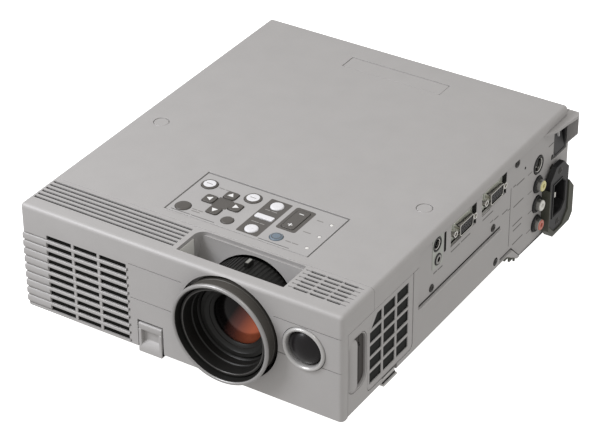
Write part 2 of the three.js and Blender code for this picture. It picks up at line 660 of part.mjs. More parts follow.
const BLADE_PITCH = 38;
function impeller(radius, depth) {
  const hub = rod('z', [0, 0], radius * 0.36, [0, depth], 14);
  const bladeCount = 7;
  const blades = [];
  for (let i = 0; i < bladeCount; i += 1) {
    const blade = block([0, radius - 0.6], [-0.6, 0.6], [-depth * 0.42, depth * 0.42]);
    blades.push(blade.rotate([BLADE_PITCH, 0, 0]).rotate([0, 0, (360 / bladeCount) * i])
      .translate([0, 0, depth / 2]));
  }
  return join(hub, ...blades);
}

// Plain blocks that hold the places of the electronics.
const POWER_SUPPLY = { x: [20, 98], y: [170, 280], z: [34, 70] };
const MAIN_BOARD = { x: [-40, 105], y: [145, 280], z: [84, 85.6] };
const KEY_BOARD = { x: [-34, 63], y: [45, 88.5], z: [88.5, 90] };

// The lamp housing, with the lamp's mouth towards the optics and a way for cooling air over it.
function lampModule() {
  const housing = block([-108, -50], [150, 232], [27, 80]);
  const mouth = rod('x', [190, 53], 20, [-60, -40], 28);
  const coolingWay = block([-100, -62], [140, 240], [66, 84]);
  return cut(housing, mouth, coolingWay);
}

// The optics chassis, with a way for the barrel and one for the left foot's post.
function opticalBlock() {
  const chassis = block([-30, 66], [68, 138], [30, 84]);
  const lensWay = rod('y', [LENS_X, LENS_Z], 25, [60, 90], 28);
  const footWay = block([-31, -10], [60, 80], [25, 86]);
  return cut(chassis, lensWay, footWay);
}

// ---------- assembly ----------
addPart('bottom_case', bottomCase(), CASE_PAINT);
addPart('top_cover', topCover(), CASE_PAINT);
addPart('front_bezel', frontBezel(), CASE_PAINT);
addPart('rear_cover', rearCover(), CASE_PAINT);
addPart('terminal_plate', terminalPlate(), CASE_PAINT);
addPart('lens_well', lensWell(), CASE_PAINT);
addPart('control_panel', controlPanel(), CASE_PAINT);
addPart('badge_plate', block([BADGE.x[0] + GAP, BADGE.x[1] - GAP],
  [BADGE.y[0] + GAP, BADGE.y[1] - GAP], [CASE_TOP - 0.7, CASE_TOP - 0.1]), CASE_PAINT);
['left', 'right'].forEach((side, i) => {
  addPart(`screw_cap_${side}`, rod('z', CAPS[i], CAP_RADIUS, [CASE_TOP - 1.1, CASE_TOP - 0.1], 20),
    CASE_PAINT);
});

addPart('intake_grille', intakeGrille(), CASE_PAINT);

addPart('strap_bar', strapBar(), CASE_PAINT);

for (const { name, at, form, colour } of KEYS) {
  addPart(name, form.key(), colour, [at[0], at[1], 0]);
}
addPart('volume_rocker', volumeRocker(), KEY_GREY, [...ROCKER.at, ROCKER.pivotZ]);
addPart('status_light_guide', lightGuide(), CLEAR);
addPart('key_board', block(KEY_BOARD.x, KEY_BOARD.y, KEY_BOARD.z), BOARD);

addPart('focus_ring', focusRing(), CASE_PAINT, [LENS_X, 0, LENS_Z]);
addPart('lens_barrel', lensBarrel(), BLACK_PLASTIC, [LENS_X, 0, LENS_Z]);
addPart('zoom_ring', zoomRing(), BLACK_PLASTIC, [LENS_X, 0, LENS_Z]);
addPart('focus_lens', turned(FOCUS_LENS_PROFILE, 28), GLASS, [LENS_X, 0, LENS_Z]);
addPart('zoom_lens', turned(ZOOM_LENS_PROFILE, 28), GLASS, [LENS_X, 0, LENS_Z]);
addPart('sensor_bezel', sensorBezel(), CASE_PAINT, [SENSOR.x, 0, SENSOR.z]);
addPart('sensor_window', sensorWindow(), SMOKED, [SENSOR.x, 0, SENSOR.z]);

addPart('left_foot', adjustableFoot(), DARK_PLASTIC, [...LEFT_FOOT, 0]);
addPart('right_foot', adjustableFoot(), DARK_PLASTIC, [...RIGHT_FOOT, 0]);
addPart('left_foot_catch', footCatch(8.7), CASE_PAINT, [LEFT_FOOT[0], 0, CATCH_BASE]);
addPart('right_foot_catch', sideCatch(), CASE_PAINT,
  [0, (FOOT_KEY.sideY[0] + FOOT_KEY.sideY[1]) / 2, CATCH_BASE]);
['left', 'right'].forEach((side, i) => {
  addPart(`rear_foot_${side}`, rod('z', REAR_FEET[i], FOOT_RADIUS, [0, REAR_FLOOR - GAP], 20),
    RUBBER);
});

for (const { name, at, colour } of TERMINALS.filter(({ name: n }) => n.startsWith('rca'))) {
  addPart(name, phonoSocket(), colour, [PLATE_FACE, ...at]);
}
const at = Object.fromEntries(TERMINALS.map((entry) => [entry.name, entry.at]));
addPart('mouse_jack', miniDin(5.4), STEEL, [PLATE_FACE, ...at.mouse_jack]);
addPart('audio_jack', audioJack(), BLACK_PLASTIC, [PLATE_FACE, ...at.audio_jack]);
addPart('vga_connector_1', displaySocket(), CHROME, [PLATE_FACE, ...at.vga_connector_1]);
addPart('vga_connector_2', displaySocket(), CHROME, [PLATE_FACE, ...at.vga_connector_2]);
addPart('s_video_jack', miniDin(6.9), STEEL, [PLATE_FACE, ...at.s_video_jack]);
addPart('ac_inlet', mainsInlet(), BLACK_PLASTIC, [PLATE_FACE, INLET.y, INLET.z]);
addPart('inlet_boss', inletBoss(), DARK_PLASTIC, [PLATE_FACE, 0, 0]);

addPart('power_switch_cup', powerSwitchCup(), BLACK_PLASTIC, [PLATE_FACE, SWITCH.y, SWITCH.z]);
addPart('power_rocker', prism(ROCKER_SIDE, 'y', [-6.6, 6.6]), BLACK_PLASTIC,
  [PLATE_FACE - ROCKER_PIVOT_DEPTH, SWITCH.y, SWITCH.z]);

// Fans turn about their own +Z; each pair sits in a group turned to face its grille.
function addFan(prefix, size, depth, position, turn) {
  const group = new THREE.Group();
  group.position.set(...position);
  group.rotation.set(...turn);
  projector.add(group);
  addPart(`${prefix}_fan_frame`, fanFrame(size, depth), BLACK_PLASTIC, [0, 0, 0], group);
  addPart(`${prefix}_fan_impeller`, impeller(size / 2 - 3, depth - 4), BLACK_PLASTIC,
    [0, 0, 1], group);
}
addFan('exhaust', 56, 20, [-67, 7, 53], [-Math.PI / 2, 0, 0]);
addFan('intake', 50, 12, [113.5, 54, 52], [0, -Math.PI / 2, 0]);

addPart('lamp_module', lampModule(), DARK_PLASTIC);
addPart('optical_block', opticalBlock(), DARK_PLASTIC);
addPart('power_supply', block(POWER_SUPPLY.x, POWER_SUPPLY.y, POWER_SUPPLY.z), BOARD);
addPart('main_board', block(MAIN_BOARD.x, MAIN_BOARD.y, MAIN_BOARD.z), BOARD);

const FRAME_SHIFT = [-(HOOD_FACE - HALF) / 2, -(REAR_COVER_END + LENS_FRONT) / 2, 0];
projector.position.set(...FRAME_SHIFT);
projector.updateMatrixWorld(true);

export default projector;
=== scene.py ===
"""Looks of the home projector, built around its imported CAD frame.

Lengths are millimetres in the case frame: x from the middle of the case towards the terminal
side, y from the front face towards the back, z up from the surface that the feet stand on.
"""
import math

import bmesh
import bpy
from mathutils import Matrix, Vector


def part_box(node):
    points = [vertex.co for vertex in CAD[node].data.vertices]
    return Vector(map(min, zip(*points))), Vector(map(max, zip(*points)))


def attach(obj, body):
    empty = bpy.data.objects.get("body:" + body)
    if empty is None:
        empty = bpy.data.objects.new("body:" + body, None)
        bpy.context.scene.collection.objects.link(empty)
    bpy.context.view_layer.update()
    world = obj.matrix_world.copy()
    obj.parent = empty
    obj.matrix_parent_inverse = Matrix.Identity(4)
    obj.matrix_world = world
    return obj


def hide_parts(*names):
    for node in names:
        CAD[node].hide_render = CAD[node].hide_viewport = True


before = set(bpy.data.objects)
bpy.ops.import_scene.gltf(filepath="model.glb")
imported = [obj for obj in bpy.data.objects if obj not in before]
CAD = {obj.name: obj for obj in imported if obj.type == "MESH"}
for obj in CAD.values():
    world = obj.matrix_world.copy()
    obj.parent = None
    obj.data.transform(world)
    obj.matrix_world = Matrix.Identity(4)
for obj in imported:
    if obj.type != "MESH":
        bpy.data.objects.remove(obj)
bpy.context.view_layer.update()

MM = 0.001
scene = bpy.context.scene

# ---- places taken from the frame
bezel_low, bezel_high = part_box("front_bezel")
CASE_ORIGIN = Vector(((bezel_low.x + bezel_high.x) / 2, bezel_low.y, 0))
TO_FRAME = Matrix.Translation(CASE_ORIGIN) @ Matrix.Scale(MM, 4)


def case_box(node):
    """A CAD node's lowest and highest corner in case millimetres."""
    low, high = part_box(node)
    return (low - CASE_ORIGIN) / MM, (high - CASE_ORIGIN) / MM


def centre_of(node):
    low, high = case_box(node)
    return (low + high) / 2


BEZEL = case_box("front_bezel")
COVER = case_box("top_cover")
HALF = BEZEL[1].x
TOP = BEZEL[1].z
FRONT_FLOOR = BEZEL[0].z
REAR_FLOOR = case_box("bottom_case")[0].z
DEPTH = COVER[1].y
BEZEL_END = BEZEL[1].y
COVER_START = COVER[0].y
SPLIT = case_box("bottom_case")[1].z
PLATE = case_box("terminal_plate")
PLATE_FACE = case_box("power_switch_cup")[1].x + 0.3
LENS = centre_of("focus_ring")
LENS_FRONT = case_box("focus_ring")[0].y
LENS_AXIS = (LENS.x, LENS.z)
SENSOR = centre_of("sensor_bezel")
SENSOR_AXIS = (SENSOR.x, SENSOR.z)
PANEL = case_box("control_panel")
GAP = 0.3
WALL = 2.5
INNER = HALF - WALL
ACROSS = (-200, 200)
EDGE = 3.0


def node_of(tree, kind, **inputs):
    node = tree.nodes.new(kind)
    for name, value in inputs.items():
        node.inputs[name.replace("_", " ")].default_value = value
    return node


def surface(name, colour, roughness, metallic=0.0, vary=0.04, vary_scale=60, grain=0.0,
            grain_scale=2500, rough_vary=0.05, specular=0.5, tint=None, ior=1.5, streak=None,
            emission=None):
    """A procedural material: colour drift, roughness drift and a fine moulded or brushed grain."""
    mat = bpy.data.materials.new(name)
    mat.use_nodes = True
    tree = mat.node_tree
    link = tree.links.new
    shader = tree.nodes["Principled BSDF"]
    fixed = {"Metallic": metallic, "Specular IOR Level": specular, "IOR": ior}
    if tint:
        fixed["Specular Tint"] = (*tint, 1)
    if emission:
        fixed["Emission Color"] = (*colour, 1)
        fixed["Emission Strength"] = emission
    for socket, value in fixed.items():
        shader.inputs[socket].default_value = value
    coords = tree.nodes.new("ShaderNodeTexCoord")
    place = node_of(tree, "ShaderNodeMapping", Scale=streak or (1, 1, 1))
    link(coords.outputs["Object"], place.inputs["Vector"])
    drift = node_of(tree, "ShaderNodeTexNoise", Scale=vary_scale, Detail=4)
    speck = node_of(tree, "ShaderNodeTexNoise", Scale=grain_scale, Detail=2)
    for noise in (drift, speck):
        link(place.outputs["Vector"], noise.inputs["Vector"])
    both = node_of(tree, "ShaderNodeMath")
    both.operation = "ADD"
    link(drift.outputs["Fac"], both.inputs[0])
    link(speck.outputs["Fac"], both.inputs[1])
    tones = node_of(tree, "ShaderNodeMapRange", From_Min=0.6, From_Max=1.4)
    link(both.outputs[0], tones.inputs["Value"])
    mix = tree.nodes.new("ShaderNodeMix")
    mix.data_type = "RGBA"
    mix.inputs["A"].default_value = (*[c * (1 - vary) for c in colour], 1)
    mix.inputs["B"].default_value = (*[min(1, c * (1 + vary)) for c in colour], 1)
    link(tones.outputs["Result"], mix.inputs["Factor"])
    link(mix.outputs["Result"], shader.inputs["Base Color"])
    rough = node_of(tree, "ShaderNodeMapRange", To_Min=max(0.02, roughness - rough_vary),
                    To_Max=min(1, roughness + rough_vary))
    link(drift.outputs["Fac"], rough.inputs["Value"])
    link(rough.outputs["Result"], shader.inputs["Roughness"])
    if grain:
        bump = node_of(tree, "ShaderNodeBump", Strength=grain, Distance=0.0002)
        link(speck.outputs["Fac"], bump.inputs["Height"])
        link(bump.outputs["Normal"], shader.inputs["Normal"])
    return mat


CASE = surface("case_paint", (0.435, 0.426, 0.419), 0.5, metallic=0.08, grain=0.10,
               grain_scale=2200)
PANEL_PAINT = surface("panel_paint", (0.45, 0.442, 0.436), 0.42, metallic=0.1, grain=0.08)
# light silvery paint of the lips; on the ledge it is a painted highlight
LIP_PAINT_AND_HIGHLIGHT = surface("lip_paint_and_highlight", (0.54, 0.535, 0.525), 0.32, metallic=0.35, vary=0.03,
                    grain=0.05)
CAPTION_GREY = surface("caption_grey", (0.25, 0.24, 0.23), 0.6, vary=0.1)
PRINT_LIGHT = surface("print_light", (0.85, 0.85, 0.84), 0.5, vary=0.03)
KEY_WHITE = surface("key_white", (0.80, 0.80, 0.82), 0.32, vary=0.02, grain=0.04)
KEY_GREY = surface("key_grey", (0.095, 0.088, 0.08), 0.42, vary=0.08, grain=0.06)
KEY_BLUE = surface("key_blue", (0.17, 0.22, 0.27), 0.36, vary=0.06, grain=0.05)
PANEL_DARK = surface("panel_dark", (0.105, 0.098, 0.09), 0.46, vary=0.06, grain=0.08)
BLACK = surface("black_plastic", (0.012, 0.012, 0.013), 0.42, vary=0.2, grain=0.12,
                grain_scale=1800)
LENS_BLACK = surface("lens_black", (0.009, 0.009, 0.008), 0.46, vary=0.2, grain=0.1,
                     specular=0.35)
RING_DARK = surface("ring_dark", (0.075, 0.07, 0.062), 0.5, vary=0.1, grain=0.15)
BOSS_DARK = surface("boss_dark", (0.075, 0.078, 0.06), 0.5, vary=0.08, grain=0.15)
FILTER = surface("filter_dark", (0.006, 0.007, 0.006), 0.9, vary=0.7, vary_scale=900,
                 grain=0.8, grain_scale=900)
SHADE = surface("inner_shade", (0.006, 0.006, 0.005), 0.9, vary=0.2, specular=0.2)
RUBBER = surface("rubber", (0.018, 0.018, 0.018), 0.85, vary=0.2, grain=0.4, grain_scale=1500)
CHROME = surface("chrome", (0.78, 0.77, 0.73), 0.16, metallic=1, vary=0.03, rough_vary=0.06)
# silver lip of the focus ring: the bezel's paint, darkened with painted shade
LENS_LIP_SHADED = surface("lens_lip_painted_shade", (0.36, 0.355, 0.35), 0.36, metallic=0.4, vary=0.04,
                   grain=0.05)
# tinned sheet of the display sockets, painted lighter than the metal to make up for the shade in their
# pockets
TINNED_PAINTED_LIGHTER = surface("tinned_sheet_painted_lighter", (0.74, 0.77, 0.70), 0.4, metallic=0.1, vary=0.12,
                 vary_scale=220, grain=0.06)
JACK_SHEET = surface("jack_sheet", (0.44, 0.46, 0.42), 0.35, metallic=0.25, vary=0.12,
                     vary_scale=220, grain=0.06)
STEEL = surface("steel", (0.42, 0.42, 0.40), 0.32, metallic=1, vary=0.08, grain=0.1,
                streak=(1, 1, 12))
SCREW = surface("screw_black", (0.05, 0.048, 0.045), 0.35, metallic=0.8, vary=0.15)
YELLOW = surface("yellow_insulator", (0.78, 0.73, 0.36), 0.3, vary=0.05, grain=0.04)
WHITE = surface("white_insulator", (0.82, 0.82, 0.78), 0.3, vary=0.03, grain=0.04)
RED = surface("red_insulator", (0.60, 0.20, 0.15), 0.3, vary=0.05, grain=0.04)
WINDOW = surface("smoked_window", (0.007, 0.006, 0.007), 0.28, vary=0.2, specular=0.35)
LIGHT = surface("frosted_guide", (0.80, 0.79, 0.76), 0.35, vary=0.03)
BOARD = surface("circuit_board", (0.02, 0.12, 0.045), 0.4, vary=0.15, vary_scale=300)
INNER_GLASS = surface("inner_glass", (0.02, 0.012, 0.02), 0.05, vary=0.1, rough_vary=0.01,
                      specular=1.0, tint=(0.6, 0.35, 1.0), ior=1.9)


def glass_painted_reflection():
    """The front element: black glass with the coating's red reflection painted on towards its lower
    right.
    """
    mat = surface("glass_painted_reflection", (0.4, 0.1, 0.05), 0.16, metallic=0.55, vary=0.1,
                  rough_vary=0.02)
    tree = mat.node_tree
    link = tree.links.new
    coords = tree.nodes.new("ShaderNodeTexCoord")
    split = tree.nodes.new("ShaderNodeSeparateXYZ")
    link(coords.outputs["Generated"], split.inputs["Vector"])
    # painted reflection: black at the upper left, red towards the lower right
    slope = tree.nodes.new("ShaderNodeMath")
    slope.operation = "MULTIPLY_ADD"
    slope.inputs[1].default_value = -0.55
    link(split.outputs["Z"], slope.inputs[0])
    link(split.outputs["X"], slope.inputs[2])
    ramp = tree.nodes.new("ShaderNodeValToRGB")
    stops = ramp.color_ramp.elements
    stops[0].position = 0.08
    stops[0].color = (0.006, 0.005, 0.005, 1)
    stops[1].position = 0.62
    stops[1].color = (0.60, 0.15, 0.07, 1)
    stops.new(0.32).color = (0.15, 0.05, 0.04, 1)
    link(slope.outputs[0], ramp.inputs["Fac"])
    link(ramp.outputs["Color"], tree.nodes["Principled BSDF"].inputs["Base Color"])
    return mat


GLASS = glass_painted_reflection()


# ---- solids as bmesh, in case mm
def arc(centre, radius, start, end, steps):
    """Points on an arc, with its angles in degrees."""
    turn = [math.radians(start + (end - start) * i / steps) for i in range(steps + 1)]
    return [(centre[0] + radius * math.cos(a), centre[1] + radius * math.sin(a)) for a in turn]


def rounded(u, v, radius, steps=6):
    """A rectangle outline with round corners; radius is one number, or one for each corner
    counted from the lowest (u, v) corner anticlockwise."""
    r = [radius] * 4 if isinstance(radius, (int, float)) else radius
    corners = [((u[0] + r[0], v[0] + r[0]), 180), ((u[1] - r[1], v[0] + r[1]), 270),
               ((u[1] - r[2], v[1] - r[2]), 0), ((u[0] + r[3], v[1] - r[3]), 90)]
    points = []
    for (centre, start), size in zip(corners, r):
        points += arc(centre, size, start, start + 90, steps) if size else [centre]
    return points


def around(middle, half):
    """A span with its middle and half its length."""
    return middle - half, middle + half


def circle(centre, radius, steps=48):
    return arc(centre, radius, 0, 360 * (steps - 1) / steps, steps - 1)


def lozenge(centre, half_wide, half_high, corner):
    u, v = centre
    a, b, c = half_wide, half_high, corner
    return [(u - a, v - b + c), (u - a + c, v - b), (u + a - c, v - b), (u + a, v - b + c),
            (u + a, v + b - c), (u + a - c, v + b), (u - a + c, v + b), (u - a, v + b - c)]


def point_on(axis, u, v, t):
    return {"x": (t, u, v), "y": (u, t, v), "z": (u, v, t)}[axis]


def prism(outline, axis, start, end):
    """An outline pushed along an axis. Its (u, v) is (y, z), (x, z) or (x, y) on axis x, y or z."""
    bm = bmesh.new()
    near, far = [[bm.verts.new(point_on(axis, u, v, t)) for u, v in outline] for t in (start, end)]
    bm.faces.new(near)
    bm.faces.new(far)
    for i in range(len(outline)):
        j = (i + 1) % len(outline)
        bm.faces.new((near[i], near[j], far[j], far[i]))
    bmesh.ops.recalc_face_normals(bm, faces=bm.faces)
    return bm


def block(x, y, z):
    return prism([(x[0], y[0]), (x[1], y[0]), (x[1], y[1]), (x[0], y[1])], "z", z[0], z[1])


def node_plan(node, grow, radius):
    """A CAD node's outline from above, grown by so many millimetres, with round corners."""
    low, high = case_box(node)
    return rounded((low.x - grow, high.x + grow), (low.y - grow, high.y + grow), radius)


def node_block(node):
    low, high = case_box(node)
    return block((low.x, high.x), (low.y, high.y), (low.z, high.z))


def rod(axis, centre, radius, start, end, steps=48):
    return prism(circle(centre, radius, steps), axis, start, end)


def lathe(profile, centre, axis="y", steps=96, base=0):
    """(radius, station) points turned about an axis through centre, with stations counted from
    base; the surface is closed where its ends leave the axis."""
    bm = bmesh.new()
    rings = []
    for radius, t in profile:
        ring = circle(centre, radius, steps) if radius > 1e-6 else [centre]
        rings.append([bm.verts.new(point_on(axis, u, v, base + t)) for u, v in ring])
    closed = profile[0][0] > 1e-6 and profile[-1][0] > 1e-6
    pairs = list(zip(rings, rings[1:])) + ([(rings[-1], rings[0])] if closed else [])
    for one, two in pairs:
        if len(one) == len(two) == 1:
            continue
        for i in range(steps):
            j = (i + 1) % steps
            face = [one[i % len(one)], one[j % len(one)], two[j % len(two)], two[i % len(two)]]
            bm.faces.new(list(dict.fromkeys(face)))
    bmesh.ops.recalc_face_normals(bm, faces=bm.faces)
    return bm


def upright(profile, middle, steps=64, base=0):
    """(radius, height) points turned about a vertical axis."""
    return lathe(profile, (middle.x, middle.y), "z", steps, base)


def merged(*solids):
    bm = bmesh.new()
    for solid in solids:
        mesh = mesh_of("part", solid)
        bm.from_mesh(mesh)
        bpy.data.meshes.remove(mesh)
    return bm


def round_off(bm, edges, radius, segments):
    bmesh.ops.bevel(bm, geom=edges, offset=radius, segments=segments, profile=0.5, affect="EDGES")


def placed(name, data):
    thing = bpy.data.objects.new(name, data)
    scene.collection.objects.link(thing)
    return thing


def mesh_of(name, bm):
    mesh = bpy.data.meshes.new(name)
    bm.to_mesh(mesh)
    bm.free()
    return mesh


def without(body, *others):
    """A solid with others cut out of it one after another."""
    for other in others:
        body = combine(body, other)
    return body


def combine(body, other, operation="DIFFERENCE"):
    """A boolean of two bmesh solids, which it uses up."""
    a, b = [placed("scratch", mesh_of("scratch", solid)) for solid in (body, other)]
    change = a.modifiers.new("boolean", "BOOLEAN")
    change.operation = operation
    change.object = b
    change.solver = "EXACT"
    change.use_self = True
    bpy.context.view_layer.update()
    result = bmesh.new()
    evaluated = a.evaluated_get(bpy.context.evaluated_depsgraph_get())
    result.from_mesh(evaluated.to_mesh())
    evaluated.to_mesh_clear()
    for thing in (a, b):
        mesh = thing.data
        bpy.data.objects.remove(thing)
        bpy.data.meshes.remove(mesh)
    bmesh.ops.dissolve_limit(result, angle_limit=math.radians(0.5), verts=result.verts,
                             edges=result.edges)
    return result


def soften(thing, width, segments=2, sharp=38):
    """Rounds the edges that are sharper than so many degrees."""
    edges = thing.modifiers.new("edges", "BEVEL")
    edges.width = width * MM
    edges.segments = segments
    edges.limit_method = "ANGLE"
    edges.angle_limit = math.radians(sharp)
    return edges


def piece(name, bm, material, body="case", stands_for=None, bevel=0, segments=2, sharp=38):
    """Turns a bmesh in case millimetres into a shown piece that rides on a CAD body."""
    mesh = mesh_of(name, bm)
    mesh.transform(TO_FRAME)
    thing = placed(name, mesh)
    mesh.materials.append(material)
    mesh.shade_smooth()
    mesh.set_sharp_from_angle(angle=math.radians(sharp))
    if bevel:
        soften(thing, bevel, segments, sharp).harden_normals = True
    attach(thing, body)
    if stands_for:
        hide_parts(stands_for)
    return thing


def finish_node(node, material, bevel):
    """Keeps a CAD node as it is and gives it its material and soft edges."""
    thing = CAD[node]
    thing.data.materials.clear()
    thing.data.materials.append(material)
    soften(thing, bevel)


# ---- the case
def outside_for(region):
    """The part inside a region of a closed box with the case's round edges on every side."""
    shell = block((-HALF, HALF), (0, DEPTH), (FRONT_FLOOR - 40, TOP))
    round_off(shell, list(shell.edges), EDGE, 6)
    return combine(shell, region, "INTERSECT")


WELL_X = (-5.0, 71.5)
WELL_Y = (8.5, 34.0)
WELL_CORNERS = (0.5, 0.5, 1.2, 7.0)
SLOT_ROWS = 10
SLOT_PITCH = 5.9
SLOT_TOP = 78.7
SLOT_HIGH = 3.5
SLOT_COLUMNS = [(-98, -78.9), (-77.1, -59.2), (-57.4, -37.2)]
LOUVRE_ROWS = 6
LOUVRE_START = 10.4
LOUVRE_PITCH = 3.94
LOUVRE_WIDE = 1.9
LOUVRE_COLUMNS = [(-114.3, -8.7), (76.5, 86.3), (87.9, 98.1), (99.5, 108.8)]


def exhaust_cutters():
    """Ten rows of three slots, with a thin groove running on to the left edge."""
    cuts = []
    for row in range(SLOT_ROWS):
        middle = SLOT_TOP - row * SLOT_PITCH
        low, high = middle - SLOT_HIGH / 2, middle + SLOT_HIGH / 2
        for x0, x1 in SLOT_COLUMNS:
            cuts.append(prism([(x0, low), (x1, low), (x1, high), (x0, high)], "y", -1, 4))
        cuts.append(block((-HALF - 1, -98.3), (-1, 0.9), (low - 0.1, low + 0.9)))
        cuts.append(block((-36.9, -35.4), (-1, 0.8), (low - 1.1, low + 1.0)))
    return cuts


def louvre_cutters():
    """Six long slots at the top left, and six broken ones at the top right."""
    cuts = []
    for row in range(LOUVRE_ROWS):
        y = LOUVRE_START + row * LOUVRE_PITCH
        for x0, x1 in LOUVRE_COLUMNS:
            cuts.append(block((x0, x1), (y, y + LOUVRE_WIDE), (TOP - 5, TOP + 1)))
        cuts.append(block((73.1, 112.8), (y + 0.5, y + 1.4), (TOP - 0.7, TOP + 1)))
    return cuts


def front_bezel():
    """The front face and the strip of roof behind it, with every opening in them."""
    region = combine(block(ACROSS, (-5, BEZEL_END), (SPLIT + GAP, TOP + 5)),
                     block(ACROSS, (-5, 5.8), (FRONT_FLOOR, SPLIT + 2)), "UNION")
    shell = outside_for(region)
    hollow = block((-INNER, INNER), (3, BEZEL_END + 5), (FRONT_FLOOR + WALL, TOP - WALL))
    shell = without(shell, hollow, block((-99.6, -35.6), (1.0, 4), (22.8, 81.2)))
    for x in ((-INNER - 1, -6.2), (72.3, INNER)):
        shell = combine(shell, block(x, (9.2, 33.2), (TOP - WALL - 1, TOP - 1.0)))
    well_mouth = prism(rounded(WELL_X, WELL_Y, WELL_CORNERS), "z", TOP - 10, TOP + 5)
    openings = merged(well_mouth, rod("y", LENS_AXIS, 35.6, -1, 4, 128),
                      rod("y", SENSOR_AXIS, 15.1, -1, 4, 96),
                      block((-30.6, -11.4), (-1, 7), (FRONT_FLOOR - 1, 42.3)), *exhaust_cutters(),
                      *louvre_cutters())
    lines = merged(*[block(span, (-1, 0.7), around(z, 0.27)) for z in (81.7, 57.1)
                     for span in ((-35, LENS.x - 33), (LENS.x + 33, HALF - 1.2))])
    return without(shell, openings, lines)


piece("bezel_shell", front_bezel(), CASE, stands_for="front_bezel", bevel=0.22)


def lens_well():
    """The liner of the opening over the zoom ring; its back leans forward, arched for the barrel."""
    outer = block((WELL_X[0] - 1.5, WELL_X[1] + 1.5), (7.0, 35.0), (62.5, TOP - WALL - 0.05))
    plan = rounded(WELL_X, WELL_Y, WELL_CORNERS, 8)
    inner = prism(plan, "z", 64, TOP)
    lean = prism([(24.8, 60), (36, 60), (36, TOP + 1), (WELL_Y[1] - 0.2, TOP + 1)], "x", -20, 90)
    return without(outer, combine(inner, lean), rod("y", LENS_AXIS, 32.4, 0, 60, 128))


piece("well_liner", lens_well(), CASE, stands_for="lens_well", bevel=0.3)
# white strip on the well's left wall: painted highlight, as that wall shows lit
cheek = prism([(WELL_X[0] + 0.05, 9.2), (WELL_X[0] + 0.45, 9.2), (WELL_X[0] + 0.45, 26.5),
               (WELL_X[0] + 0.05, 26.5)], "z", 64.5, TOP - 2.6)
piece("well_cheek_highlight", cheek, WHITE, bevel=0.15)


def top_cover():
    """The roof behind the bezel, recessed for the panel, the caps and the badge."""
    region = block(ACROSS, (COVER_START, DEPTH + 5), (SPLIT + GAP, TOP + 5))
    shell = outside_for(region)
    hollow = block((-INNER, INNER), (BEZEL_END - 5, DEPTH - WALL), (SPLIT - 5, TOP - WALL))
    shell = combine(shell, hollow)
    low, high = PANEL
    cuts = merged(block((low.x - 1.0, high.x + 0.9), (low.y - 0.4, high.y + 1.4), (TOP - 6, TOP + 1)),
                  block((HALF - 4, HALF + 1), (88.6, DEPTH + 1), (SPLIT - 1, PLATE[1].z + GAP)),
                  block((104, HALF + 1), (DEPTH - 4, DEPTH + 1), (SPLIT - 1, PLATE[1].z + GAP)))
    shell = combine(shell, cuts)
    for side in ("left", "right"):
        cap = centre_of("screw_cap_" + side)
        shell = combine(shell, rod("z", (cap.x, cap.y), 5.3, TOP - 1.2, TOP + 1, 64))
    low, high = case_box("badge_plate")
    return combine(shell, block((low.x - 0.45, high.x + 0.3), (low.y - 0.3, high.y + 0.45),
                                (TOP - 0.85, TOP + 1)))


piece("top_shell", top_cover(), CASE, stands_for="top_cover", bevel=0.22)

for side in ("left", "right"):
    middle = centre_of("screw_cap_" + side)
    cap = upright([(0, TOP - 0.12), (4.6, TOP - 0.12), (5.0, TOP - 0.45), (5.0, TOP - 1.1),
                   (0, TOP - 1.1)], middle)
    piece("cap_" + side, cap, CASE, stands_for="screw_cap_" + side)

badge = prism(node_plan("badge_plate", 0, 0.8), "z", case_box("badge_plate")[0].z, TOP - 0.15)
piece("badge_blank", badge, CASE, stands_for="badge_plate", bevel=0.15)


def terminal_outline(grow):
    return [(88.9 - grow, 50.8 - grow), (196 - grow, 50.8 - grow), (196 - grow, 24 - grow),
            (214 - grow, 24 - grow), (226 - grow, 12), (PLATE[1].y + 1, 12),
            (PLATE[1].y + 1, 91.3 + grow), (88.9 - grow, 91.3 + grow)]


SIDE_WALL = (HALF - 5, HALF + 1)
INTAKE = case_box("intake_grille")
STRAP = case_box("strap_bar")
LEFT_FOOT = centre_of("left_foot")
RIGHT_FOOT = centre_of("right_foot")


def intake_outline(grow=0.0):
    """The grille's edge as (y, z), with its upper front corner cut off."""
    low, high = INTAKE
    return [(low.y - grow, low.z + 3), (low.y + 1 - grow, low.z + 0.9 - grow), (low.y + 3, low.z - grow),
            (high.y - 3, low.z - grow), (high.y - 0.9 + grow, low.z + 0.9 - grow),
            (high.y + grow, low.z + 3), (high.y + grow, high.z + 6 * grow),
            (low.y + 8 - grow, high.z + 6 * grow), (low.y + 8 - grow, high.z),
            (low.y - grow, high.z - 12)]


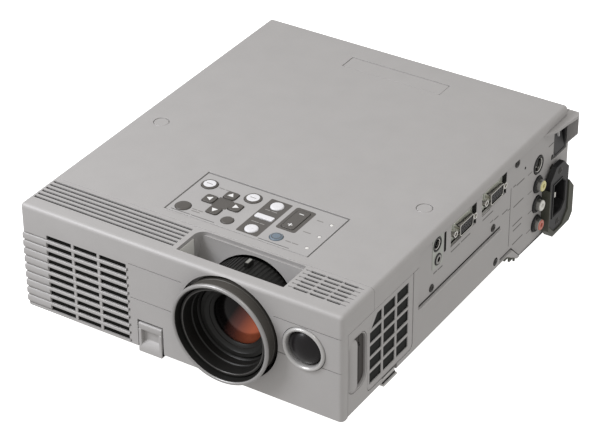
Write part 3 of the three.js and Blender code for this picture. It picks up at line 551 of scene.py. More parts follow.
def bottom_case():
    """The tray: sides and floor, which is deeper at the back."""
    side = [(6.1, FRONT_FLOOR), (206, FRONT_FLOOR), (222, REAR_FLOOR), (DEPTH, REAR_FLOOR),
            (DEPTH, SPLIT), (6.1, SPLIT)]
    body = prism(side, "x", -HALF, HALF)
    edges = [e for e in body.edges
             if all(v.co.y > 280 for v in e.verts) and abs(e.verts[0].co.z - e.verts[1].co.z) > 1]
    round_off(body, edges, EDGE, 6)
    long_edges = [e for e in body.edges
                  if all(v.co.z < FRONT_FLOOR + 0.1 and abs(abs(v.co.x) - HALF) < 0.01 for v in e.verts)]
    round_off(body, long_edges, 1.2, 3)
    front_hollow = block((-INNER, INNER), (0, 207), (FRONT_FLOOR + WALL, SPLIT + 3))
    rear_side = [(205, FRONT_FLOOR + WALL), (222, REAR_FLOOR + WALL), (DEPTH - WALL, REAR_FLOOR + WALL),
                 (DEPTH - WALL, SPLIT + 3), (205, SPLIT + 3)]
    body = without(body, front_hollow, prism(rear_side, "x", -INNER, INNER))
    cuts = merged(prism(intake_outline(0.4), "x", *SIDE_WALL),
                  prism(rounded((STRAP[0].y - 0.3, STRAP[1].y + 0.3),
                                (STRAP[0].z - 0.3, STRAP[1].z + 0.3), 8.0, 12), "x", *SIDE_WALL),
                  prism(terminal_outline(GAP), "x", *SIDE_WALL),
                  block((-HALF + 10, HALF - 2), (DEPTH - 4, DEPTH + 1), (REAR_FLOOR + 8, SPLIT + 1)),
                  block((104, HALF + 1), (45.5, 63.5), (FRONT_FLOOR - 1, 26.1)),
                  block((-30.6, -11.4), (0, 13), (FRONT_FLOOR - 1, FRONT_FLOOR + 4)),
                  *[rod("z", (foot.x, foot.y), 8.5, FRONT_FLOOR - 1, FRONT_FLOOR + 4, 64)
                    for foot in (LEFT_FOOT, RIGHT_FOOT)])
    under = merged(*[block((-70 + 9 * i, -65 + 9 * i), (95, 135), (FRONT_FLOOR - 1, FRONT_FLOOR + 4))
                     for i in range(9)])
    door = combine(block((-104, -34), (150, 200), (FRONT_FLOOR - 1, FRONT_FLOOR + 0.6)),
                   block((-103.4, -34.6), (150.6, 199.4), around(FRONT_FLOOR, 2)))
    return without(body, cuts, under, door)


piece("bottom_shell", bottom_case(), CASE, stands_for="bottom_case", bevel=0.22)


# ---- right side: terminal plate
SOCKETS = {"mouse_jack": 5.4, "audio_jack": 4.4, "s_video_jack": 6.9, "rca_yellow": 6.3, "rca_white": 6.3,
           "rca_red": 6.3}
HOOD_FACE = PLATE[1].x
SWITCH = centre_of("power_switch_cup")


def terminal_plate():
    """The pierced plate, the hood's roof and rear wall, and the strip at the case's rear corner."""
    plate = prism(terminal_outline(0), "x", PLATE_FACE - 2, PLATE_FACE)
    trim = block((90, 140), (PLATE[1].y, PLATE[1].y + 5), (0, 120))
    back = PLATE[1].y
    hood_plan = [(PLATE_FACE - 1.5, 253), (PLATE_FACE + 1.5, 255), (HOOD_FACE - 3.1, 264.5),
                 (HOOD_FACE - 1.9, 276), (HOOD_FACE, back - 5.5), (HOOD_FACE - 0.5, back - 2.6),
                 (HOOD_FACE - 2, back), (PLATE_FACE - 1.5, back)]
    roof = prism(hood_plan, "z", PLATE[1].z - 2.2, PLATE[1].z)
    wall_side = [(PLATE_FACE - 1.5, 62), (PLATE_FACE, 66), (HOOD_FACE - 1, 75.5), (HOOD_FACE, 78),
                 (HOOD_FACE, 91), (PLATE_FACE - 1.5, 91)]
    wall = combine(prism(wall_side, "y", 290.2, back), prism(hood_plan, "z", 60, PLATE[1].z - 0.01),
                   "INTERSECT")
    corner = block((104.3, PLATE_FACE - 0.5), (back - 2, back - 0.01), (REAR_FLOOR, PLATE[1].z - 0.01))
    cuts = [rod("x", (centre_of(n).y, centre_of(n).z), r, 105, 125, 48) for n, r in SOCKETS.items()]
    for name in ("vga_connector_1", "vga_connector_2"):
        c = centre_of(name)
        cuts.append(block((105, 125), around(c.y, 16.3), around(c.z, 7.9)))
    inlet = centre_of("ac_inlet")
    cuts.append(block((105, 118), around(inlet.y, 11.5), around(inlet.z, 14)))
    cuts.append(block((105, 130), around(SWITCH.y, 9.8), (SWITCH.z - 11.4, 86.9)))
    return without(plate, trim, merged(*cuts)), roof, wall, corner


shell, roof, wall, corner = terminal_plate()
piece("terminal_shell", shell, CASE, stands_for="terminal_plate", bevel=0.2)
for name, solid in (("hood_roof", roof), ("hood_wall", wall), ("terminal_corner", corner)):
    piece(name, solid, CASE, bevel=0.2)


def rear_cover():
    """The back panel with its slots and the groove round its door."""
    low, high = case_box("rear_cover")
    plate = node_block("rear_cover")
    outer = [e for e in plate.edges if all(v.co.y > high.y - 0.1 for v in e.verts)]
    round_off(plate, outer, 2.2, 5)
    slots = merged(*[block((-95, -35), (low.y - 1, high.y + 1), (30 + 6 * i, 32.4 + 6 * i))
                     for i in range(8)])
    groove = combine(block((-20, 96), (high.y - 0.5, high.y + 1), (24, 80)),
                     block((-19.5, 95.5), around(high.y, 2), (24.5, 79.5)))
    return without(plate, slots, groove)


piece("rear_shell", rear_cover(), CASE, stands_for="rear_cover", bevel=0.22)


# ---- vents
def intake_grille():
    low, high = INTAKE
    panel = prism(intake_outline(), "x", high.x - 1.1, high.x)
    cells = []
    for row in range(5):
        bottom = 30.6 + 9.9 * row
        for column, (y0, y1) in enumerate([(31.2, 44.9), (47.0, 60.7), (62.8, 76.5)]):
            cell = [(y0, bottom), (y1, bottom), (y1, bottom + 8), (y0, bottom + 8)]
            if row == 4 and column == 0:
                cell = [(y0 + 1, bottom), (y1, bottom), (y1, bottom + 8), (y1 - 5.5, bottom + 8)]
            cells.append(prism(cell, "x", low.x - 2, high.x + 1))
    return combine(panel, merged(*cells))


piece("intake_bars", intake_grille(), CASE, stands_for="intake_grille", bevel=0.45, segments=3)
piece("intake_mesh", block((HALF - 1.9, HALF - 1.3), (29, 80), (28, 80)), FILTER, bevel=0.1)
# dark sheets of painted shade behind the front slots and the top louvres
shade_sheets = {"exhaust_shade_sheet": ((-99.4, -35.8), (1.4, 1.9), (23, 81.1)),
            "louvre_shade_left": ((-115.5, -6.8), (9.4, 33.0), (TOP - 1.9, TOP - 1.4)),
            "louvre_shade_right": ((72.9, 114.5), (9.4, 33.0), (TOP - 1.9, TOP - 1.4))}
for name, sides in shade_sheets.items():
    piece(name, block(*sides), SHADE, bevel=0.1)


def rounded_bar(x, z, proud):
    """A bar across the front with a rounded face."""
    half = (z[1] - z[0]) / 2
    face = [(-proud * math.sin(math.radians(a)), z[0] + half - half * math.cos(math.radians(a)))
            for a in range(0, 181, 20)]
    return prism([(0.4, z[0])] + face + [(0.4, z[1])], "x", x[0], x[1])


bars = []
for row in range(SLOT_ROWS - 1):
    slot_low = SLOT_TOP - row * SLOT_PITCH - SLOT_HIGH / 2
    next_high = slot_low - (SLOT_PITCH - SLOT_HIGH)
    bars.append(rounded_bar((-98.2, -36.9), (next_high + 0.05, slot_low - 0.05), 0.4))
    bars.append(rounded_bar((-HALF + 0.7, -98.2), (slot_low - SLOT_PITCH + 1.0, slot_low - 0.2), 0.5))
piece("exhaust_bars", merged(*bars), PANEL_PAINT)


# ---- strap bar on the right side
def strap_bar():
    low, high = STRAP
    cup = prism(rounded((low.y, high.y), (low.z, high.z), 7.7, 12), "x", low.x, HALF - 0.1)
    dish = prism(rounded((low.y + 0.9, high.y - 0.8), (low.z + 0.9, high.z - 0.8), 7.0, 12), "x", 108.5,
                 HALF + 1)
    return combine(cup, dish)


piece("strap_cup", strap_bar(), CASE, stands_for="strap_bar", bevel=0.3)


def strap_handle():
    """A rounded upright bar in front of the cup's hollow."""
    low, high = STRAP
    outline = rounded((low.y + 0.8, low.y + 10.4), (low.z + 1.0, high.z - 1.0), 4.6, 10)
    bar = prism(outline, "x", 110.5, HALF + 1.4)
    rim = [e for e in bar.edges if all(v.co.x > HALF for v in e.verts)]
    round_off(bar, rim, 3.4, 8)
    return bar


piece("strap_handle", strap_handle(), CASE, sharp=60)
# dark brown painted shade in the cup's hollow behind the handle
hollow_shade_paint = surface("hollow_painted_shade", (0.045, 0.040, 0.036), 0.6, vary=0.1)
strap_shade = prism(rounded((STRAP[0].y + 8, STRAP[1].y - 1.1), (STRAP[0].z + 1.6, STRAP[1].z - 1.6), 6),
                    "x", HALF - 2.4, HALF - 1.6)
piece("strap_shade", strap_shade, hollow_shade_paint)


CROSS_HALF = 0.25


def side_screw(name, y, z, base, out, radius):
    """A pan head with a cross in it on the right side, standing out from x = base."""
    head = lathe([(0, base + out), (radius * 0.6, base + out), (radius * 0.92, base + out * 0.7),
                  (radius, base + out * 0.2), (radius, base - 0.3), (0, base - 0.3)], (y, z), "x", 32)
    depth = (base + out * 0.35, base + out * 1.6)
    arm = radius * 0.62
    cross = merged(*[block(depth, (y - half_y, y + half_y), (z - half_z, z + half_z))
                     for half_y, half_z in ((arm, CROSS_HALF), (CROSS_HALF, arm))])
    piece(name, combine(head, cross), SCREW)


side_screw("strap_screw", STRAP[0].y + 13.6, STRAP[1].z - 9, HALF - 1.7, 1.0, 1.5)


# ---- control panel and keys
ROUND_KEYS = {"menu_button": KEY_WHITE, "keystone_button": KEY_GREY, "enter_button": KEY_WHITE,
              "quick_button": KEY_GREY, "input_button": KEY_WHITE, "still_button": KEY_WHITE,
              "power_button": KEY_BLUE}
ARROWS = {"arrow_left": (-1, 0), "arrow_right": (1, 0), "arrow_back": (0, 1), "arrow_front": (0, -1)}
KEY_TOP = case_box("menu_button")[1].z
PANEL_TOP = PANEL[1].z
ROUND_FLANGE = 1.0
BAR_FLANGE = 0.9


def key_radius(name):
    low, high = case_box(name)
    return (high.x - low.x) / 2 - ROUND_FLANGE


def bar_outline(name, grow=0.0, radius=2.0):
    return node_plan(name, grow - BAR_FLANGE, radius)


def key_holes(low, high, grow):
    """What the keys need cut out of the panel, with a gap of grow round each."""
    holes = [rod("z", (centre_of(n).x, centre_of(n).y), key_radius(n) + grow, low, high, 64)
             for n in ROUND_KEYS]
    holes += [prism(bar_outline(n, grow), "z", low, high) for n in ARROWS]
    holes.append(prism(bar_outline("aspect_button", grow, 1.6), "z", low, high))
    holes.append(prism(node_plan("volume_rocker", 0.4, 1.6), "z", low, high))
    return holes


LIGHTS = [(60.6, 80.0), (61.0, 65.2), (61.0, 51.1)]


def control_panel():
    low, high = PANEL
    plate = prism(node_plan("control_panel", 0, 0.6), "z", low.z, high.z)
    lights = [rod("z", at, 1.35, 90, 99, 24) for at in LIGHTS]
    return combine(plate, merged(*key_holes(90, 99, 0.35), *lights))


piece("panel_plate", control_panel(), PANEL_PAINT, stands_for="control_panel", bevel=0.18)
piece("panel_shade", block((PANEL[0].x - 0.5, PANEL[1].x + 0.5), (PANEL[0].y, PANEL[1].y + 0.7),
                           (PANEL[0].z - 0.7, PANEL[0].z - 0.2)), SHADE)

for name, paint in ROUND_KEYS.items():
    middle = centre_of(name)
    low, high = case_box(name)
    r = key_radius(name)
    key = upright([(0, high.z), (r * 0.55, high.z - 0.01), (r - 0.7, high.z - 0.08),
                   (r - 0.25, high.z - 0.28), (r, high.z - 0.65), (r, low.z + 1.1),
                   (r + 0.9, low.z + 1.1), (r + 0.9, low.z), (0, low.z)], middle)
    piece("key_" + name, key, paint, body=name, stands_for=name)

power_rim = upright([(2.5, -0.06), (2.9, 0), (3.2, -0.06), (3.2, -0.3), (2.5, -0.3)],
                    centre_of("power_button"), 48, KEY_TOP)
piece("power_rim", power_rim, KEY_GREY, body="power_button")


def bar_key(name, radius):
    low, high = case_box(name)
    cap = prism(bar_outline(name, 0, radius), "z", low.z + 0.8, high.z)
    foot = prism(bar_outline(name, 0.8, radius), "z", low.z, low.z + 1.0)
    return merged(cap, foot)


for name, (step_x, step_y) in ARROWS.items():
    piece("key_" + name, bar_key(name, 2.0), KEY_GREY, body=name, stands_for=name, bevel=0.3, segments=3)
    middle = centre_of(name)
    side_x, side_y = -step_y, step_x
    tip = (middle.x + 2.3 * step_x, middle.y + 2.3 * step_y)
    corners = [(middle.x - 1.3 * step_x + 2.2 * s * side_x, middle.y - 1.3 * step_y + 2.2 * s * side_y)
               for s in (-1, 1)]
    piece("mark_" + name, prism([tip] + corners, "z", KEY_TOP - 0.3, KEY_TOP + 0.05), PRINT_LIGHT,
          body=name)
piece("key_aspect", bar_key("aspect_button", 0.7), KEY_WHITE, body="aspect_button",
      stands_for="aspect_button", bevel=0.3, segments=3)

rocker_low, rocker_high = case_box("volume_rocker")
rocker = merged(prism(node_plan("volume_rocker", 0, 1.5), "z", 93.6, rocker_high.z),
                block((rocker_low.x + 0.6, rocker_high.x - 0.6), (71.9, 74.7), (rocker_low.z, 94)))
piece("rocker_volume", rocker, PANEL_DARK, body="volume_rocker", stands_for="volume_rocker", bevel=0.35,
      segments=3)
rocker_x = centre_of("volume_rocker").x
mark_z = (rocker_high.z - 0.3, rocker_high.z + 0.03)
marks = merged(block(around(rocker_x, 1.6), (79.6, 80.3), mark_z),
               block(around(rocker_x, 1.6), (66.4, 67.1), mark_z),
               block(around(rocker_x, 0.35), (65.1, 68.4), (mark_z[0], rocker_high.z + 0.028)))
piece("volume_marks", marks, PRINT_LIGHT, body="volume_rocker")


def field(outline, thick):
    """A printed field on the panel."""
    return prism(outline, "z", PANEL_TOP - 0.2, PANEL_TOP + thick)


cross = centre_of("arrow_left").lerp(centre_of("arrow_right"), 0.5)
fields = merged(field(rounded((13.3, 28.8), (45.2, 86.2), 0.8), 0.06),
                field(rounded((32.0, 46.2), (60.3, 86.3), 1.8), 0.06),
                field(rounded(around(cross.x, 5.4), around(cross.y, 5.4), 0.8), 0.055))
piece("panel_fields", combine(fields, merged(*key_holes(90, 99.5, 0.3))), PANEL_DARK)
for name in ("menu_button", "enter_button"):
    middle = centre_of(name)
    r = key_radius(name)
    ring = upright([(r - 1.3, 0.02), (r - 0.5, -0.06), (r + 0.05, -0.5), (r + 0.05, -1), (r - 1.3, -1)],
                   middle, base=KEY_TOP)
    piece("ring_" + name, ring, KEY_GREY, body=name)
    letters = prism(rounded(around(middle.x, 2.2), around(middle.y, 0.28), 0.2, 3), "z", KEY_TOP - 0.3,
                    KEY_TOP + 0.03)
    piece("letters_" + name, letters, CAPTION_GREY, body=name)


def dashes(y, spans, high=0.8):
    """Short bars that stand in for printed words."""
    return [rounded(span, (y, y + high), 0.3, 3) for span in spans]


captions = (dashes(79.3, [(-21.8, -17.5), (-16.8, -13.2)])
            + dashes(50.6, [(-22.5, -18.8), (-18.1, -14.6)]) + dashes(48.6, [(-21.8, -15.6)])
            + dashes(79.6, [(50.0, 54.6)]) + dashes(64.8, [(49.4, 54.8)])
            + dashes(50.6, [(45.6, 49.6), (50.3, 54.8)])
            + dashes(44.6, [(-34, -20), (-19, -2), (30, 52)], 0.25))
piece("panel_captions", merged(*[field(o, 0.04) for o in captions]), CAPTION_GREY)
light_captions = (dashes(73.6, [(16.2, 20.0), (20.8, 25.0)], 0.6)
                  + dashes(58.5, [(16.0, 21.4), (22.0, 25.4)], 0.6))
piece("field_captions", merged(*[field(o, 0.09) for o in light_captions]),
      surface("caption_light", (0.33, 0.32, 0.31), 0.6, vary=0.1))
lights = merged(block((60, 61.6), (48.5, 82.5), (92.6, 94.4)),
                *[lathe([(0, PANEL_TOP + 0.12), (0.8, PANEL_TOP + 0.06), (1.15, PANEL_TOP - 0.15),
                         (1.15, 94.2), (0, 94.2)], at, "z", 32) for at in LIGHTS])
piece("status_lights", lights, LIGHT, stands_for="status_light_guide")


# ---- lens
def cap_profile(radius, edge_angle, step, start, size):
    """A dome's profile from its top to its edge, which leans by edge_angle degrees."""
    angles = [math.radians(a) for a in range(0, edge_angle + 1, step)]
    return [(radius * math.sin(a) / math.sin(math.radians(edge_angle)), start + size * (1 - math.cos(a)))
            for a in angles]


def on_lens(profile, base=0):
    return lathe(profile, LENS_AXIS, "y", 128, base)


focus_lip = on_lens([(32.3, 0.7), (32.7, 0.15), (33.3, 0), (34.0, 0.2), (34.45, 0.7), (34.6, 1.3),
                     (34.6, 1.9), (34.2, 2.3), (32.6, 2.3), (32.3, 1.9)], LENS_FRONT)
piece("focus_lip", focus_lip, LENS_LIP_SHADED, body="focus_ring", stands_for="focus_ring", sharp=50)
grip = on_lens([(32.4, 2.2), (34.3, 2.2), (34.3, 3.2), (33.5, 4.4), (33.2, 9.2), (32.9, 9.5), (32.9, 9.9),
                (33.2, 10.2), (33.2, 15.4), (30.95, 15.4), (30.95, 7.0), (31.6, 6.2), (31.8, 2.2)],
               LENS_FRONT)
piece("focus_grip", grip, RING_DARK, body="focus_ring")
focus_throat = on_lens([(31.95, 0.9), (32.35, 0.8), (32.35, 2.4), (31.9, 3.0), (31.0, 5.4), (31.0, 5.2)],
                       LENS_FRONT)
piece("focus_throat", focus_throat, LENS_BLACK, body="focus_ring")

barrel = on_lens([(30.3, -5.9), (29.3, -6.0), (28.6, -5.7), (28.3, -4.8), (27.9, -1.0), (27.6, 1.6),
                  (27.0, 2.2), (26.6, 6.6), (26.0, 7.2), (25.4, 9.0), (25.4, 29), (24.5, 30), (24.5, 66),
                  (26.8, 66), (26.8, 36), (28.6, 33), (28.6, 12.5), (30.4, 12.5), (30.4, -5.8)])
piece("barrel_tube", barrel, LENS_BLACK, stands_for="lens_barrel")
bead = on_lens([(28.75, -6.0), (29.35, -6.0), (29.5, -5.8), (29.35, -5.6), (28.75, -5.6), (28.6, -5.8)])
piece("barrel_bead", bead, surface("bead_grey", (0.09, 0.088, 0.085), 0.35,
                                   metallic=0.5))

CELL = case_box("focus_lens")[0].y
cell = on_lens([(17.5, 3.4), (17.9, 3.0), (19.6, 2.2), (19.8, 1.7), (22.3, 0.9), (22.6, 0.5), (24.8, 0.2),
                (24.8, 10.4), (17.5, 10.4)], CELL)
piece("lens_cell", cell, LENS_BLACK, body="focus_cell", stands_for="focus_lens")
glass = on_lens(cap_profile(17.45, 27, 3, 0.05, 38.4) + [(17.45, 9.5), (0, 9.5)], CELL)
piece("front_glass", glass, GLASS, body="focus_cell", sharp=60)

zoom_low, zoom_high = case_box("zoom_lens")
second = on_lens([(0, zoom_low.y), (12, zoom_low.y + 1.5), (24, zoom_low.y + 4), (24, zoom_high.y),
                  (0, zoom_high.y)])
piece("second_glass", second, INNER_GLASS, body="zoom_cell", stands_for="zoom_lens", sharp=30)


ZOOM_RIBS = 72


def zoom_ring():
    """The ribbed ring and its lever."""
    profile = [(29.0, 14.0), (31.0, 14.0), (31.2, 14.4), (31.2, 31.0), (30.9, 31.5), (29.0, 31.5)]
    ribs = []
    for i in range(ZOOM_RIBS):
        turn = math.radians(360 / ZOOM_RIBS * i)
        rib = block((-0.62, 0.62), (15.2, 30.6), (30.9, 31.58))
        rib.transform(Matrix.Translation((LENS.x, 0, LENS.z)) @ Matrix.Rotation(turn, 4, "Y"))
        ribs.append(rib)
    lever = block(around(LENS.x, 1.5), (21, 27), (LENS.z + 31, LENS.z + 34.5))
    return merged(on_lens(profile), *ribs, lever)


piece("zoom_grip", zoom_ring(), LENS_BLACK, body="zoom_ring", stands_for="zoom_ring", bevel=0.15)
piece("zoom_mark", block(around(LENS.x, 1.0), (21.6, 26.4), (LENS.z + 34.45, LENS.z + 34.58)),
      surface("mark_grey", (0.28, 0.28, 0.26), 0.5), body="zoom_ring")


# ---- sensor
sensor_ring = lathe([(11.75, 0.9), (12.1, -0.3), (12.6, -1.2), (13.2, -1.7), (13.9, -1.6), (14.5, -1.0),
                     (14.75, -0.1), (14.75, 5.0), (11.75, 5.0)], SENSOR_AXIS, "y", 96)
piece("sensor_ring", sensor_ring, LIP_PAINT_AND_HIGHLIGHT, stands_for="sensor_bezel", sharp=50)
window = cap_profile(11.4, 48, 4, -3.35, 15.3 * 0.97)
piece("sensor_dome", lathe(window + [(11.4, 5.8), (0, 5.8)], SENSOR_AXIS, "y", 96), WINDOW,
      stands_for="sensor_window", sharp=60)


# ---- feet and their catches
def front_catch():
    """The sculpted button of the left foot."""
    low, high = case_box("left_foot_catch")
    side = [(-1.1, low.z), (-1.1, low.z + 3.0), (-0.4, low.z + 5.6), (2.4, low.z + 8.4),
            (2.6, low.z + 14.4), (1.6, low.z + 15.6), (-0.1, low.z + 16.4), (-0.6, low.z + 17.2),
            (-0.6, low.z + 20.6), (0.2, high.z), (4.5, high.z), (11.5, low.z + 11), (11.5, low.z)]
    body = prism(side, "x", low.x, high.x)
    cheeks = [block((x0, x1), (-0.8, 4), (low.z + 0.5, low.z + 17))
              for x0, x1 in ((low.x, low.x + 2.2), (high.x - 2.2, high.x))]
    return merged(body, *cheeks)


piece("catch_front", front_catch(), CASE, body="left_foot_catch", stands_for="left_foot_catch",
      bevel=0.45, segments=3)


def side_catch():
    """The plain lip of the right foot."""
    low, high = case_box("right_foot_catch")
    lip = block((low.x, high.x), (low.y, high.y), (low.z, low.z + 1.6))
    face = block((low.x, high.x - 1.4), (low.y + 0.6, high.y - 0.6), (low.z + 1.4, high.z))
    return merged(lip, face)


piece("catch_side", side_catch(), LIP_PAINT_AND_HIGHLIGHT, body="right_foot_catch", stands_for="right_foot_catch",
      bevel=0.4, segments=3)

catch_low, catch_high = case_box("right_foot_catch")
piece("catch_gap", block((catch_low.x + 0.5, catch_high.x - 1.2), (catch_low.y + 0.7, catch_high.y - 0.7),
                         (catch_low.z + 1.5, catch_low.z + 2.7)), SHADE, body="right_foot_catch")
for side in ("left", "right"):
    name = side + "_foot"
    low, high = case_box(name)
    middle = (low + high) / 2
    foot = upright([(0, 0), (5.8, 0), (6.7, 0.5), (7.0, 1.4), (7.0, 2.4), (7.9, 2.9), (7.9, high.z - 3),
                    (9.9, high.z - 3), (9.9, high.z), (0, high.z)], middle)
    grooves = merged(*[upright([(7.3, z), (9, z), (9, z + 0.9), (7.3, z + 0.9)], middle)
                       for z in range(5, 21, 3)])
    piece("foot_" + side, combine(foot, grooves), BOSS_DARK, body=name, stands_for=name, bevel=0.2)
    name = "rear_foot_" + side
    low, high = case_box(name)
    middle = (low + high) / 2
    pad = upright([(0, 0), (6.4, 0), (7.6, 0.7), (8.0, 2.0), (8.0, high.z), (0, high.z)], middle)
    dimple = rod("z", (middle.x, middle.y), 2.4, -1, 1.6, 32)
    piece("pad_" + side, combine(pad, dimple), RUBBER, stands_for=name, bevel=0.2)


# ---- terminals
def on_side(node):
    """The (y, z) of a CAD node's middle."""
    middle = centre_of(node)
    return middle.y, middle.z


def bored(outer, bore, face, back, depth, centre):
    """A round socket body with a soft rim and a blind bore."""
    rim = 0.3
    return lathe([(bore, face - rim), (bore + rim, face), (outer - rim, face), (outer, face - rim),
                  (outer, back), (0, back), (0, face - depth), (bore, face - depth)], centre, "x", 64)


def mini_din(name, node, outer, pins):
    """A round socket with pin holes, its can and the ring that shields it."""
    c = on_side(node)
    face = PLATE_FACE
    can = bored(outer - 0.3, outer - 1.5, face + 0.6, face - 8, 6.2, c)
    piece(name + "_can", can, BLACK, stands_for=node)
    shield = lathe([(outer - 2.3, -4.8), (outer - 2.3, -0.1), (outer - 1.9, 0.15), (outer - 1.6, -0.1),
                    (outer - 1.6, -4.8)], c, "x", 64, face)
    piece(name + "_shield", shield, CHROME)
    core = rod("x", c, outer - 3.2, face - 5.4, face - 2.0, 48)
    holes = [rod("x", (c[0] + py, c[1] + pz), 0.42, face - 4, face, 16) for py, pz in pins]
    holes.append(block((face - 4, face), around(c[0], 0.9), (c[1] + 1.4, c[1] + 2.3)))
    piece(name + "_core", combine(core, merged(*holes)), BLACK)


mini_din("mouse", "mouse_jack", 5.4, [(-1.7, -0.9), (1.7, -0.9), (-0.9, -2.0), (0.9, -2.0)])
mini_din("s_video", "s_video_jack", 6.9, [(-2.2, 0.4), (2.2, 0.4), (-1.4, -1.9), (1.4, -1.9)])
mouse = on_side("mouse_jack")
audio = on_side("audio_jack")
bracket = prism(rounded((mouse[0] - 6.0, mouse[0] + 7.2), (audio[1] - 5.2, mouse[1] + 5.7), 1.6), "x",
                PLATE_FACE - 0.3, PLATE_FACE + 0.3)
holes = merged(rod("x", mouse, 5.15, 110, 120), rod("x", audio, 4.15, 110, 120))
piece("jack_bracket", combine(bracket, holes), JACK_SHEET, bevel=0.12)
jack = bored(4.05, 1.8, PLATE_FACE + 0.9, PLATE_FACE - 9, 8.2, audio)
piece("audio_barrel", jack, BLACK, stands_for="audio_jack")
audio_collar = lathe([(1.8, 0.9), (2.0, 1.15), (2.9, 1.15), (3.1, 0.9), (3.1, 0.5), (1.8, 0.5)], audio,
                     "x", 48, PLATE_FACE)
piece("audio_collar", audio_collar, STEEL)


def d_outline(y, z, half_long, half_high, slant, corner=2.0, steps=5):
    """The D shape of a display socket, longer at the top, with round corners."""
    corners = [(y - half_long + slant, z - half_high), (y + half_long - slant, z - half_high),
               (y + half_long, z + half_high), (y - half_long, z + half_high)]
    points = []
    for i, (u, v) in enumerate(corners):
        before, after = corners[i - 1], corners[(i + 1) % 4]
        to_before = Vector((before[0] - u, before[1] - v)).normalized() * corner
        to_after = Vector((after[0] - u, after[1] - v)).normalized() * corner
        for k in range(steps + 1):
            t = k / steps
            a = Vector((u, v)) + to_before * (1 - t)
            b = Vector((u, v)) + to_after * t
            points.append(tuple(a.lerp(b, t)))
    return points


def display_socket(name, node):
    """A 15-way socket at the bottom of a pocket, with a dark strip of painted shade on its rear wall."""
    low, high = case_box(node)
    c = centre_of(node)
    face = PLATE_FACE
    bed = face - 3.1
    plate = prism(rounded(around(c.y, 16.7), around(c.z, 8.3), 1.4), "x", face - 4.4, bed)
    shoulder = prism(d_outline(c.y, c.z, 9.7, 5.0, 1.2), "x", bed - 0.1, bed + 0.9)
    back = block((low.x, face - 4), around(c.y, 9), around(c.z, 5.4))
    piece(name + "_flange", merged(plate, shoulder, back), TINNED_PAINTED_LIGHTER, stands_for=node, bevel=0.25)
    outer = prism(d_outline(c.y, c.z, 9.0, 4.3, 1.1), "x", bed + 0.7, high.x)
    inner = prism(d_outline(c.y, c.z, 8.45, 3.75, 1.05, 1.7), "x", bed + 0.5, high.x + 1)
    piece(name + "_shell", combine(outer, inner), CHROME, bevel=0.12)
    core = prism(d_outline(c.y, c.z, 8.0, 3.3, 1.0, 1.5), "x", bed + 0.5, high.x - 0.7)
    pins = [rod("x", (c.y + (k - 2) * 2.3 + (0.6 if row == 1 else 0), c.z + (row - 1) * 2.0), 0.5,
                high.x - 2.5, high.x + 1, 12) for row in range(3) for k in range(5)]
    piece(name + "_core", combine(core, merged(*pins)), BLACK)
    for side in (-1, 1):
        post = prism(circle((c.y + 12.5 * side, c.z), 2.5, 6), "x", bed - 0.1, high.x - 0.6)
        bore = rod("x", (c.y + 12.5 * side, c.z), 1.25, high.x - 3.6, high.x + 1, 24)
        piece(f"{name}_post_{'front' if side < 0 else 'rear'}", combine(post, bore), CHROME, bevel=0.3)
    # dark strip on the pocket's rear wall: painted shade
    wall_shade = block((face - 3.0, face - 0.1), (c.y + 15.9, c.y + 16.35), around(c.z, 7.9))
    piece(name + "_foam", wall_shade, RUBBER)


display_socket("display_1", "vga_connector_1")
display_socket("display_2", "vga_connector_2")

for colour, paint in (("yellow", YELLOW), ("white", WHITE), ("red", RED)):
    node = "rca_" + colour
    low, high = case_box(node)
    at = on_side(node)
    face = PLATE_FACE
    base = lathe([(4.2, face + 0.9), (5.6, face + 1.2), (5.95, face + 0.9), (5.95, face - 0.3),
                  (5.6, low.x), (0, low.x), (0, face - 1), (4.2, face - 1)], at, "x", 48)
    piece(f"phono_{colour}_base", base, BLACK, stands_for=node)
    collar = lathe([(3.6, -1), (3.6, 3.8), (3.9, 4.1), (4.15, 3.8), (4.15, -1)], at, "x", 48, face)
    piece(f"phono_{colour}_collar", collar, STEEL)
    tip = lathe([(1.6, high.x - 0.25), (1.85, high.x), (3.3, high.x), (3.7, high.x - 0.4), (3.7, face),
                 (0, face), (0, face + 1), (1.6, face + 1)], at, "x", 48)
    piece(f"phono_{colour}_tip", tip, paint)

inlet = centre_of("ac_inlet")
inlet_low, inlet_high = case_box("ac_inlet")


def mains_inlet():
    """The flanged inlet with a raised lip round its hole."""
    front, back = inlet_high.x, inlet_high.x - 4.0
    flange = prism(lozenge((inlet.y, inlet.z), (inlet_high.y - inlet_low.y) / 2,
                           (inlet_high.z - inlet_low.z) / 2, 8), "x", back, front)
    body = block((inlet_low.x + 0.5, back + 0.4), around(inlet.y, 11), around(inlet.z, 13.6))
    whole = combine(flange, body, "UNION")

    def mouth(grow):
        """The hole's outline: an upright rectangle whose rear corners are cut off."""
        y0, y1, y2 = inlet.y - 8.2 - grow, inlet.y + 3.6 + grow * 0.4, inlet.y + 8.2 + grow
        z1, z2 = 7.6 + grow * 0.4, 12.2 + grow
        return [(y0, inlet.z - z2), (y1, inlet.z - z2), (y2, inlet.z - z1), (y2, inlet.z + z1),
                (y1, inlet.z + z2), (y0, inlet.z + z2)]

    whole = combine(whole, prism(mouth(0), "x", inlet_low.x + 3, front + 1))
    lip = combine(prism(mouth(1.4), "x", front - 0.5, front + 0.55),
                  prism(mouth(0.25), "x", front - 2, front + 2))
    return merged(whole, lip)


piece("inlet_body", mains_inlet(), BLACK, stands_for="ac_inlet", bevel=0.35, segments=3)
for i, dz in enumerate((-7, 0, 7)):
    tip = inlet_high.x - (2.6 if dz == 0 else 6.5)
    pin = block((inlet_low.x + 1.5, tip), around(inlet.y, 1.0), (inlet.z + dz - 2.0, inlet.z + dz + 2.0))
    piece(f"inlet_pin_{i}", pin, CHROME, bevel=0.4)
for name, dz in (("low", -20), ("high", 20)):
    side_screw("inlet_screw_" + name, inlet.y, inlet.z + dz, inlet_high.x - 0.1, 0.5, 2.7)


